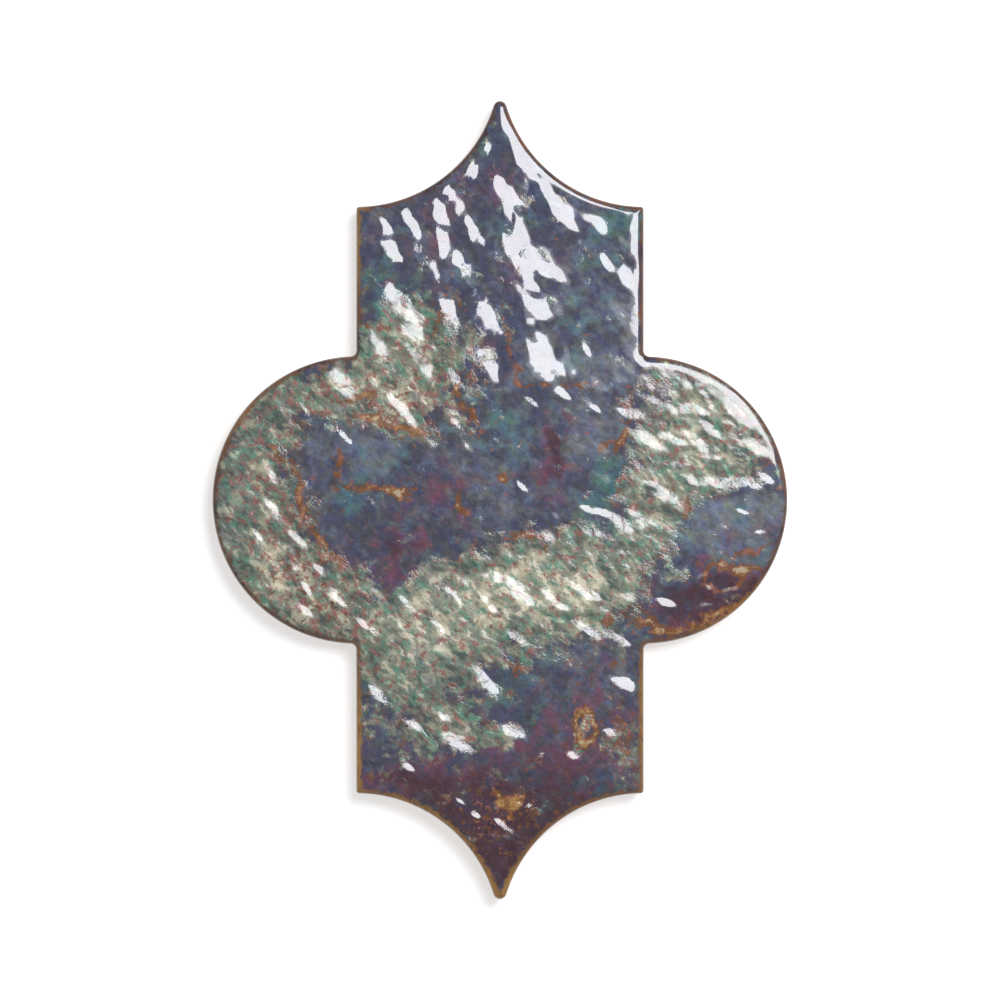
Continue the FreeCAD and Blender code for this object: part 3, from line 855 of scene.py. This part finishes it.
# The waves too are: size, reach and seed.
SMALL_WAVES = (2.6, 1.1, 63)
WIDE_WAVES = (7, 2.4, 61)
CRUST_WAVES = (5, 1.5, 41)
HAZE = 0.05
THICKEST = 1.2
CRUST_HEIGHT = 0.4
CRUST_FADE = (2.5, 6.0)


def pushed(points, size, reach, seed):
    """Points moved about by noise, up to about the reach, with swirls of the given size."""
    x, y = points.T / size
    return points + reach * np.column_stack([lumps(x, y, seed), lumps(x, y, seed + 1)])


def swirled(points):
    """Points moved by each swirl in turn, the wide ones first."""
    for swirl in SWIRLS:
        points = pushed(points, *swirl)
    return points


def cloudiness(points):
    """How thick the pale crystals lie, from 0 to 1.2."""
    return np.clip(HAZE + patches(swirled(points), CLOUDS), 0, THICKEST)


def veining(points):
    """How strong veins and rings are: small waves move both, and wide waves move the veins too."""
    waved = pushed(points, *SMALL_WAVES)
    return patches(pushed(waved, *WIDE_WAVES), VEINS) + rings(waved, RINGS)


def crust(points):
    """Heights of the crystals: small lumps, as high as the cloud is thick, in millimetres."""
    along, across = turned(pushed(points, *CRUST_WAVES), STROKE_WAY)
    fine = lumps(along / 3.6, across / 2.1, 42) + 0.35 * lumps(across / 1.6, along / 2.0, 43)
    thick = np.clip(cloudiness(points) - 0.1, 0, 0.7)
    return CRUST_HEIGHT * thick * fine * ramp(inset(points), *CRUST_FADE)


print(f"clouds cover {np.mean(cloudiness(sheet) > 0.5):.0%} of the face")

# %% [markdown]
# ## The height of the face
# Glaze rounds off what it covers, so its edge rolls down in a wide arc, with a small round at the rim.
# Lumps on top of the clay's own height would stand out of the tile's real size, so the whole face lies
# lower by the highest lump. Towards the edge they fade out, because the outline is clean there.

# %% Roll, headroom and lumps
HEADROOM = float((relief(sheet) + crust(sheet)).max())
SOFT_ROLL = 5.6
SOFT_ARRIS = 0.6


def glazed_height(depth):
    """Height without lumps: full less the headroom, an arc down the roll, and a round at the rim."""
    left = np.maximum(ROLL_WIDTH - depth, 0)
    arc = np.sqrt(SOFT_ROLL**2 - left**2) - SOFT_ROLL
    turn = np.clip(1 - depth / SOFT_ARRIS, 0, 1)
    return THICKNESS - HEADROOM + arc + SOFT_ARRIS * (np.sqrt(1 - turn**2) - 1)


RIM_LEVEL = float(glazed_height(np.zeros(1))[0])


def face_height(points):
    """Height of the glazed face: the roll, and the lumps and crust from the arris inwards."""
    depth = inset(points)
    return glazed_height(depth) + (relief(points) + crust(points)) * ramp(depth, SOFT_ARRIS, BORDER)


print(f"the highest lump is {HEADROOM:.2f} mm, and the rim lies {RIM_LEVEL:.2f} mm up")

# %% [markdown]
# ## The closed tile
# The face is the welded sheet, and the back is its own drawing. Between them run the rows of the rim,
# the side and the foot. Every row has as many points as the border, so joining one row to the next is
# one formula, and no seam is left open. Each point also gets a number for its coat, 1 on glaze and 0 on
# bare clay.

# %% Points and cells of the tile


def tile_points():
    """All points of the tile, as face, rim rows, side rows, back rows and back, and their glaze."""
    face = np.column_stack([sheet, face_height(sheet)])
    rim = [np.column_stack([row, face_height(row)]) for row in rim_rows()]
    side, glaze = side_rows(RIM_LEVEL)
    foot = side[-1][:, :2]
    back_rows = []
    for depth in BACK_INSETS:
        share = (depth - COAT - FOOT_BEVEL) / (BORDER - COAT - FOOT_BEVEL)
        back_rows.append(np.column_stack([foot + (border - foot) * share, np.zeros(ROUND)]))
    points = np.concatenate([face, *rim, *side, *back_rows, back])
    coat = [1.0] * len(face) + [1.0] * (ROUND * len(rim))
    coat += np.repeat(glaze, ROUND).tolist() + [0.0] * (ROUND * len(back_rows) + len(back))
    return points, np.array(coat), len(rim) + len(side) + len(back_rows)


def between_rows(upper, lower):
    """Cells between two closed rows of point numbers, facing outwards when upper lies above."""
    after_upper, after_lower = np.roll(upper, -1), np.roll(lower, -1)
    return np.stack([upper, lower, after_lower, after_upper], axis=1)


def tile_faces(row_count):
    """Four-sided cells of the face and of the bands from row to row, and the triangles of the back."""
    around = np.arange(ROUND)
    back_first = len(sheet) + row_count * ROUND
    rows = [len(sheet) + ROUND * number + around for number in range(row_count)]
    rows = [around, *rows, back_first + around]
    bands = [between_rows(upper, lower) for upper, lower in zip(rows, rows[1:])]
    return np.concatenate([cells, *bands]), back_first + back_triangles


points, coat, row_count = tile_points()
tile_cells, tile_triangles = tile_faces(row_count)
triangle_count = 2 * len(tile_cells) + len(tile_triangles)
print(f"{len(points)} points, {triangle_count} triangles, highest {points[:, 2].max():.3f} mm")

# %% [markdown]
# ## From arrays to a mesh
# Adding vertices and faces one by one is slow. foreach_set hands over a whole array at once. The cells
# are shaded smooth, because they follow a curved surface, and the back's triangles flat, because clay
# that was pressed in a mould has crisp grooves.

# %% A mesh object


def new_piece(name, points, cells, triangles):
    """A mesh object at the origin, from arrays in millimetres: smooth cells of four, flat triangles."""
    corners = np.concatenate([cells.ravel(), triangles.ravel()])
    starts = [np.arange(0, cells.size, 4), np.arange(cells.size, corners.size, 3)]
    mesh = bpy.data.meshes.new(name)
    mesh.vertices.add(len(points))
    mesh.vertices.foreach_set("co", (points * MM).astype(np.float32).ravel())
    mesh.loops.add(len(corners))
    mesh.loops.foreach_set("vertex_index", corners.astype(np.int32))
    mesh.polygons.add(len(cells) + len(triangles))
    mesh.polygons.foreach_set("loop_start", np.concatenate(starts).astype(np.int32))
    mesh.update(calc_edges=True)
    mesh.validate()
    mesh.polygons.foreach_set("use_smooth", np.arange(len(cells) + len(triangles)) < len(cells))
    piece = bpy.data.objects.new(name, mesh)
    bpy.context.scene.collection.objects.link(piece)
    return piece


tile = new_piece("glazed_tile", points, tile_cells, tile_triangles)
print(f"{tile.name} has {len(tile.data.polygons)} faces")

# %% [markdown]
# ## Numbers that the mesh keeps
# The material has to know where the clouds, tints and veins lie, and how far in from the edge a place
# is. Working that out again in nodes would take hundreds of them. A mesh can keep a number for each of
# its points under a name instead, and an Attribute node reads it, blended between the points.

# %% Clouds, tints, veins, coat and depth on the points


def keep(name, values):
    """Stores one number for each point of the tile under a name."""
    layer = tile.data.attributes.new(name, "FLOAT", "POINT")
    layer.data.foreach_set("value", values.astype(np.float32))
    print(f"{name}: {values.min():.2f} to {values.max():.2f}")


SAME_LEVEL = 0.001
flat = points[:, :2]
keep("cloud", cloudiness(flat))
tints = {"violet": (VIOLETS, 1.3), "teal": (TEALS, 1.2), "rusty": (RUSTS, 1.3), "steel": (STEELS, 1.2)}
for name, (spots, strongest) in tints.items():
    keep(name, np.clip(patches(swirled(flat), spots), 0, strongest))
keep("vein", np.clip(veining(flat), 0, 1.4))
keep("amber", np.clip(patches(flat, AMBERS), 0, 1))
keep("coat", coat)
keep("depth", np.where(points[:, 2] < RIM_LEVEL - SAME_LEVEL, 0.0, inset(flat)))

# %% [markdown]
# ## Shader maths as plain expressions
# A material is a web of nodes, and sums drawn as boxes are hard to read. One small class wraps an
# output of a node, so that adding or multiplying two of them in Python adds the Math node that does
# it. A second class makes every other node through one method.

# %% A wrapper for sockets and one maker of nodes


class Value:
    """One output of a node. Arithmetic on it adds Math nodes to the same material."""

    def __init__(self, finish, socket):
        self.finish = finish
        self.socket = socket

    def sum_up(self, operation, first, second):
        """The output of a Math node on two values or numbers."""
        return self.finish.node("ShaderNodeMath", {"operation": operation}, {0: first, 1: second})

    def __add__(self, other):
        return self.sum_up("ADD", self, other)

    def __sub__(self, other):
        return self.sum_up("SUBTRACT", self, other)

    def __rsub__(self, other):
        return self.sum_up("SUBTRACT", other, self)

    def __mul__(self, other):
        return self.sum_up("MULTIPLY", self, other)

    __radd__ = __add__
    __rmul__ = __mul__

    def size(self):
        """The value without its sign."""
        return self.sum_up("ABSOLUTE", self, 0.0)

    def most(self, other):
        """The larger of two values."""
        return self.sum_up("MAXIMUM", self, other)

    def step(self, start, stop):
        """0 up to start, 1 from stop on, and a smooth step between. stop may lie below start."""
        settings = {"interpolation_type": "SMOOTHSTEP"}
        return self.finish.node("ShaderNodeMapRange", settings, {0: self, 1: start, 2: stop})


class Finish:
    """A material, built up by one method that makes any node."""

    def __init__(self, name):
        self.material = bpy.data.materials.new(name)
        self.material.use_nodes = True
        self.tree = self.material.node_tree
        self.tree.nodes.clear()

    def node(self, kind, settings=None, sockets=None, output=0):
        """Adds a node, makes its settings, fills its sockets with values or links, gives an output."""
        made = self.tree.nodes.new(kind)
        for name, setting in (settings or {}).items():
            setattr(made, name, setting)
        for place, value in (sockets or {}).items():
            if isinstance(value, Value):
                self.tree.links.new(value.socket, made.inputs[place])
            else:
                made.inputs[place].default_value = value
        return Value(self, made.outputs[output]) if len(made.outputs) else None

    def blend(self, first, second, factor, way="MIX"):
        """A colour between two, or one laid over the other in another way."""
        settings = {"data_type": "RGBA", "blend_type": way, "clamp_factor": True}
        first, second = (c if isinstance(c, Value) else (*c, 1.0) for c in (first, second))
        return self.node("ShaderNodeMix", settings, {0: factor, 6: first, 7: second}, 2)

    def noise(self, place, scale, detail=2.0, roughness=0.5):
        """Cloudy noise from 0 to 1, with about one lump every 1 / scale millimetres."""
        sockets = {"Vector": place, "Scale": scale, "Detail": detail, "Roughness": roughness}
        return self.node("ShaderNodeTexNoise", None, sockets)

    def stored(self, name):
        """A number that the mesh keeps for each of its points."""
        return self.node("ShaderNodeAttribute", {"attribute_name": name}, None, "Fac")

    def count(self):
        """How many nodes there are so far."""
        return len(self.tree.nodes)


print("expressions such as 1 - mask * 0.5 now make nodes")

# %% [markdown]
# ## The reactive glaze
# A picture of a glaze would have one size and show its seams. Here the finish is laid down in layers,
# in the order in which the kiln makes them: the clear ground, the crystals' flecks, the veins and drops
# of iron, and last the thin coat at the rim. First come the colours, as a glaze maker would name them.

# %% Colours
NAVY = (0.044, 0.046, 0.082)
INK = (0.016, 0.015, 0.032)
STEEL = (0.128, 0.146, 0.192)
TEAL = (0.042, 0.122, 0.128)
VIOLET = (0.108, 0.036, 0.072)
PLUM = (0.028, 0.009, 0.014)
DEEP_SEA = (0.036, 0.070, 0.064)
SEA = (0.092, 0.240, 0.172)
SLATE = (0.120, 0.185, 0.190)
MOSS = (0.140, 0.156, 0.116)
SAGE = (0.315, 0.335, 0.245)
MIST = (0.225, 0.220, 0.230)
SAND = (0.510, 0.460, 0.325)
CREAM = (0.730, 0.680, 0.520)
ROSE = (0.285, 0.105, 0.092)
RUST = (0.185, 0.066, 0.020)
AMBER = (0.450, 0.235, 0.045)
BROWN = (0.110, 0.048, 0.024)
CLAY = (0.560, 0.360, 0.225)
CLAY_DARK = (0.400, 0.235, 0.135)
print(f"{CREAM} at the palest, {INK} at the darkest")

# %% [markdown]
# ## A stirred melt
# Object coordinates in millimetres give the grain its real size from any side. Plain noise looks like
# smoke, though. A melt is stirred by its own bubbles, so the place is moved by one noise before the
# next one reads it, which makes ragged, lacy borders. Most marks also run one way, and coordinates that
# are squeezed along that way turn dots into strokes.

# %% Places, strokes and lace
STROKE_STRETCH = (1.6, 1.0, 1.0)


def stirred(glaze, place, scale, reach):
    """The place moved by coloured noise up to the reach, with swirls of 1 / scale millimetres."""
    sockets = {"Vector": place, "Scale": scale, "Detail": 1.0}
    swirl = glaze.node("ShaderNodeTexNoise", None, sockets, "Color")
    reaches = {0: swirl, 1: (reach, reach, reach), 2: place}
    return glaze.node("ShaderNodeVectorMath", {"operation": "MULTIPLY_ADD"}, reaches)


def stroked(glaze, place):
    """The place in axes along and across the strokes, squeezed along them."""
    axes = {"Vector": place, "Rotation": (0.0, 0.0, math.radians(STROKE_WAY)), "Scale": STROKE_STRETCH}
    return glaze.node("ShaderNodeMapping", {"vector_type": "TEXTURE"}, axes)


def lace(glaze, place, scale, reach):
    """Noise with ragged, lacy borders, in a melt stirred as far as the reach."""
    return glaze.noise(stirred(glaze, place, scale, reach), scale, 5.0, 0.63)


glaze = Finish("reactive_glaze")
here = glaze.node("ShaderNodeTexCoord", None, None, "Object")
place = glaze.node("ShaderNodeVectorMath", {"operation": "SCALE"}, {0: here, "Scale": 1 / MM})
strokes = stroked(glaze, place)
grain = glaze.noise(place, 1.5, 3.0, 0.6)
print(f"{glaze.count()} nodes give the places")

# %% [markdown]
# ## The ground
# The clear glaze is navy, with steel blue, teal and violet drifting through it. Each drifts a little
# everywhere and gathers where the mesh's numbers say. Two tints, an olive and a blue one, keep it from
# looking like one paint, and the finest noise makes it lighter and darker.

# %% Ground
OLIVE_TINT = (1.10, 1.06, 0.74)
BLUE_TINT = (0.86, 1.00, 1.20)
BRIGHT_TINT = (2.1, 2.05, 1.95)


def ground_colour(glaze, place, strokes, grain):
    """Navy with steel, teal and violet drifting through it, each stronger where it was placed."""
    cold, warm = lace(glaze, place, 0.2, 5.0), lace(glaze, place, 0.26, 4.0)
    drift = glaze.noise(place, 0.07, 2.0)
    colour = glaze.blend(NAVY, STEEL, glaze.stored("steel") * 0.9 + (cold - 0.5) * 3.2)
    teal, violet = glaze.stored("teal"), glaze.stored("violet")
    colour = glaze.blend(colour, TEAL, teal * (cold * 2.6 - 0.8) + (cold + drift - 1.08) * 2.6)
    colour = glaze.blend(colour, VIOLET, violet * (warm * 2.4 - 0.4) + (warm - drift - 0.12) * 2.4)
    colour = glaze.blend(colour, PLUM, (violet - 0.9) * 1.7 + (warm - 0.5) * 2.2)
    hue = glaze.blend(OLIVE_TINT, BLUE_TINT, (lace(glaze, strokes, 0.45, 2.0) - 0.5) * 3.6 + 0.5)
    colour = glaze.blend(colour, hue, 1.0, "MULTIPLY")
    fine = glaze.noise(strokes, 0.7, 4.0, 0.62)
    lit = 0.42 + (fine - 0.5) * 1.5 + (warm - 0.5) * 1.0 + (grain - 0.5) * 0.3
    dark = glaze.blend(colour, INK, 0.35)
    bright = glaze.blend(colour, BRIGHT_TINT, 1.0, "MULTIPLY")
    return glaze.blend(dark, bright, lit)


ground = ground_colour(glaze, place, strokes, grain)
print(f"{glaze.count()} nodes with the ground")

# %% [markdown]
# ## The flecks
# Crystals are flecks of many colours side by side: moss and sage where they are thin, sand and cream
# where they are thick, with sea green, grey and rose between them. Each colour has a lace of its own,
# so that they overlap at random, and one more lace lights and darkens them all and gives their dark
# gaps and pale tops.

# %% Flecks


def fleck_colour(glaze, place, strokes, thick):
    """Crystals in moss, sage, sea green, sand and rose, lighter where the cloud is thick."""
    rich, warm = thick.step(0.45, 1.15), glaze.stored("rusty")
    green, red = lace(glaze, strokes, 0.42, 2.4), lace(glaze, place, 0.42, 2.4)
    pale, blue = lace(glaze, strokes, 0.31, 3.0), lace(glaze, place, 0.26, 3.0)
    colour = glaze.blend(MOSS, SAGE, rich + (pale - 0.5) * 3.0)
    colour = glaze.blend(colour, SLATE, glaze.stored("teal") * (blue * 4.0 - 1.3))
    colour = glaze.blend(colour, SEA, (green - warm * 0.02).step(0.48, 0.6) * 0.9)
    colour = glaze.blend(colour, SAND, pale.step(0.47, 0.62) * (0.35 + rich * 0.55 + warm * 0.3))
    colour = glaze.blend(colour, MIST, blue.step(0.55, 0.66) * 0.7)
    colour = glaze.blend(colour, ROSE, (red + warm * 0.055).step(0.54, 0.61) * 0.85)
    light = (lace(glaze, strokes, 0.47, 1.9) - 0.5) * 5.0 + (green - 0.5) * 1.5 + rich * 0.3
    colour = glaze.blend(colour, (0.98 + light * 0.3).most(0.5), 1.0, "MULTIPLY")
    colour = glaze.blend(colour, DEEP_SEA, light.step(-0.05, -0.65) * 0.75)
    colour = glaze.blend(colour, CREAM, light.step(0.4, 0.95) * (0.5 + rich * 0.45))
    return colour, light


cloud = glaze.stored("cloud")
flecks, light = fleck_colour(glaze, place, strokes, cloud)
broken = glaze.noise(stirred(glaze, place, 0.25, 3.0), 0.2, 5.0, 0.66)
border_level = cloud + (broken - 0.5) * 1.5
cover = (border_level + light * 0.14).step(0.16, 0.5)
print(f"{glaze.count()} nodes with the flecks")

# %% [markdown]
# ## The iron
# A vein isn't one colour: it has a brown outline, rust inside and gold where it is widest. That is one
# number read at three heights. The same metal makes the broken line along the clouds' borders and the
# small drops, most of them where the mesh's number for rust is high.

# %% Veins, borders and drops


def vein_colour(glaze, place, colour, border_level):
    """The colour with lines over it: the placed ones, the clouds' borders, and drops."""
    ragged, tone = lace(glaze, place, 0.7, 2.0), lace(glaze, place, 0.3, 2.0)
    level = glaze.stored("vein") + (ragged - 0.5) * 2.8 + (tone - 0.5) * 1.5
    placed = level.step(0.4, 0.66)
    gaps = glaze.noise(place, 0.12, 1.0).step(0.45, 0.56)
    outline = (border_level - 0.3).size().step(0.14, 0.03) * gaps * ragged.step(0.42, 0.56)
    rusty = glaze.stored("rusty")
    drops = (ragged + rusty * 0.07).step(0.62, 0.67) * (0.3 + rusty)
    metal = glaze.blend(BROWN, RUST, level.step(0.45, 0.7).most(tone.step(0.42, 0.55)))
    metal = glaze.blend(metal, ROSE, tone.step(0.54, 0.58) * 0.8)
    metal = glaze.blend(metal, AMBER, (level - 1.0) * 1.4 + (tone - 0.5) * 2.4 + rusty * 0.25)
    metal = glaze.blend(metal, SAND, level.step(1.2, 1.5) * 0.8)
    return glaze.blend(colour, metal, placed.most(outline * 0.8).most(drops) * 0.88)


colour = vein_colour(glaze, place, glaze.blend(ground, flecks, cover), border_level)
print(f"{glaze.count()} nodes with the iron")

# %% [markdown]
# ## The thin rim
# Where the edge turns over, the melt has run off. The coat is thin there, and the clay shines through
# in brown, rust or amber. The depth that the mesh keeps says where, and noise makes the line uneven.

# %% Rim


def thin_rim(glaze, place, colour):
    """The colour with brown, rust, plum or amber laid over it where the coat is thin."""
    depth, amber = glaze.stored("depth"), glaze.stored("amber")
    uneven, tone = lace(glaze, place, 0.45, 2.0), lace(glaze, place, 0.16, 4.0)
    thin = (depth + (uneven - 0.5) * 4.4 - amber * 0.35).step(1.5, 0.5)
    rim = glaze.blend(BROWN, RUST, tone.step(0.45, 0.6) * 0.7)
    rim = glaze.blend(rim, PLUM, tone.step(0.46, 0.36) * 0.8)
    rim = glaze.blend(rim, AMBER, amber * (0.4 + (uneven - 0.35) * 3.2))
    return glaze.blend(colour, rim, thin * 0.88)


colour = thin_rim(glaze, place, colour)
print(f"{glaze.count()} nodes with the rim")

# %% [markdown]
# ## Gloss and bare clay
# Clear glaze is nearly a mirror and bends light more than window glass does, so the highlights are hard
# and white. The crystals roughen it. Each by itself is too fine for the mesh, so a bump lifts them in
# the clouds, less towards the edge, and leaves a trace on the clear glaze. Below the bead the same
# material turns into dry clay, because the two are one piece that was fired together.

# %% Surface
GLAZE_IOR = 1.78
CLEAR_ROUGHNESS = 0.06
CRYSTAL_ROUGHNESS = 0.15
CLAY_ROUGHNESS = 0.85
CRYSTAL_BUMP = 0.11
CLEAR_BUMP = 0.008
CLAY_BUMP = 0.12


def surfaced(glaze, place, strokes, grain, colour, cover):
    """Glossy where the coat is and dry on the bare clay, with a bump in millimetres."""
    coat = glaze.stored("coat").step(0.35, 0.65)
    bare = 1 - coat
    clay = glaze.blend(CLAY_DARK, CLAY, grain.step(0.3, 0.62))
    crystals = glaze.noise(stirred(glaze, strokes, 0.6, 1.4), 0.62, 1.0, 0.4)
    away = glaze.stored("depth").step(1.5, 6.0)
    height = crystals * (cover * away * CRYSTAL_BUMP + CLEAR_BUMP) * coat + bare * grain * CLAY_BUMP
    bump = glaze.node("ShaderNodeBump", None, {"Strength": 1.0, "Distance": MM, "Height": height})
    surface = glaze.node("ShaderNodeBsdfPrincipled", None, {
        "Base Color": glaze.blend(clay, colour, coat),
        "Roughness": (CLEAR_ROUGHNESS + cover * CRYSTAL_ROUGHNESS) * coat + bare * CLAY_ROUGHNESS,
        "Normal": bump,
        "IOR": GLAZE_IOR,
    })
    glaze.node("ShaderNodeOutputMaterial", None, {"Surface": surface})


surfaced(glaze, place, strokes, grain, colour, cover)
tile.data.materials.append(glaze.material)
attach(tile, "root")
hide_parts("arabesque_tile")
print(f"{glaze.count()} nodes in the whole glaze")

# %% [markdown]
# ## The floor
# The tile lies on a plain white floor. A floor in full light would still come out grey in the picture,
# because it reflects only a part of what falls on it, and more light would bleach the glaze. So the
# floor shines a little by itself, but only for rays that come from the camera, a gloss or glass. That
# adds no light to the tile's colours, and the tile's soft shadow stays.

# %% Floor
FLOOR_SIZE = 6.0
FLOOR_WHITE = 0.8
FLOOR_LIFT = 0.52


def floor_finish():
    """Matt white. What the camera, gloss and glass see of it is lifted to full white."""
    paint = Finish("floor_paint")
    ray = "ShaderNodeLightPath"
    seen = paint.node(ray, None, None, "Is Camera Ray")
    seen = seen.most(paint.node(ray, None, None, "Is Glossy Ray"))
    seen = seen.most(paint.node(ray, None, None, "Is Transmission Ray"))
    white = (FLOOR_WHITE, FLOOR_WHITE, FLOOR_WHITE)
    lift = (FLOOR_LIFT, FLOOR_LIFT, FLOOR_LIFT)
    surface = paint.node("ShaderNodeBsdfPrincipled", None, {
        "Base Color": (*white, 1.0),
        "Roughness": 0.9,
        "Specular IOR Level": 0.0,
        "Emission Color": paint.blend((0.0, 0.0, 0.0), lift, seen),
        "Emission Strength": 1.0,
    })
    paint.node("ShaderNodeOutputMaterial", None, {"Surface": surface})
    return paint.material


def flat_floor():
    """A square sheet at height 0."""
    half = FLOOR_SIZE / 2 / MM
    corners = np.array([[-half, -half, 0], [half, -half, 0], [half, half, 0], [-half, half, 0]], float)
    return new_piece("floor", corners, np.array([[0, 1, 2, 3]]), np.zeros((0, 3)))


floor = flat_floor()
floor.data.materials.append(floor_finish())
print(f"a floor of {FLOOR_SIZE:.0f} m")

# %% [markdown]
# ## Sky and softboxes
# A soft, even sky gives most of the light. The glints and the white line along the upper right edge
# are images of one lamp, so they show where it stands: high up, to the upper right. It is a softbox
# with a slightly larger and much weaker one at the same place, which gives each glint a soft border.

# %% Sky and softboxes
SKY = 0.33
SOFTBOX_TURN = 45
# Each is: name, width and length in metres, radiance and colour.
SOFTBOXES = [
    ("key_softbox", 0.33, 0.30, 9.2, (0.98, 0.97, 1.0)),
    ("veil_softbox", 0.38, 0.36, 1.3, (0.98, 0.98, 1.0)),
]


def sky():
    """An even white world."""
    world = bpy.data.worlds.new("sky")
    world.use_nodes = True
    background = world.node_tree.nodes["Background"]
    background.inputs["Color"].default_value = (1.0, 1.0, 1.0, 1.0)
    background.inputs["Strength"].default_value = SKY
    bpy.context.scene.world = world


def softbox(name, wide, long, radiance, colour):
    """A rectangle of light that faces the tile. Its power is radiance times pi times its area."""
    lamp = bpy.data.lights.new(name, "AREA")
    lamp.shape = "RECTANGLE"
    lamp.size, lamp.size_y = wide, long
    lamp.energy = radiance * math.pi * wide * long
    lamp.color = colour
    box = bpy.data.objects.new(name, lamp)
    box.location = [side * MM for side in LAMP]
    box.rotation_mode = "QUATERNION"
    facing = Vector([-side * MM for side in LAMP]).to_track_quat("-Z", "Y")
    box.rotation_quaternion = facing @ Quaternion((0, 0, 1), math.radians(SOFTBOX_TURN))
    box.visible_camera = False
    bpy.context.scene.collection.objects.link(box)


sky()
for lamp in SOFTBOXES:
    softbox(*lamp)
print(f"a sky of {SKY} and {len(SOFTBOXES)} softboxes, one within the other")

# %% [markdown]
# ## The camera
# It looks straight down from a metre up. The lens is worked out from the height of the picture at the
# level of the face, so that the tile keeps its size in the picture.

# %% Camera
CAMERA_HEIGHT = EYE[2] * MM
VIEW_HEIGHT = 0.25
SENSOR_WIDTH = 36.0
FARTHEST = 20.0


def camera():
    """Straight above the tile, with the picture's height set by the lens."""
    eye = bpy.data.cameras.new("camera")
    eye.sensor_width = SENSOR_WIDTH
    eye.lens = SENSOR_WIDTH * (CAMERA_HEIGHT - THICKNESS * MM) / VIEW_HEIGHT
    eye.clip_end = FARTHEST
    stand = bpy.data.objects.new("camera", eye)
    stand.location = (0, 0, CAMERA_HEIGHT)
    bpy.context.scene.collection.objects.link(stand)
    bpy.context.scene.camera = stand
    return eye


eye = camera()
bpy.context.scene.view_settings.view_transform = "Standard"
print(f"a lens of {eye.lens:.0f} mm, {CAMERA_HEIGHT} m up")
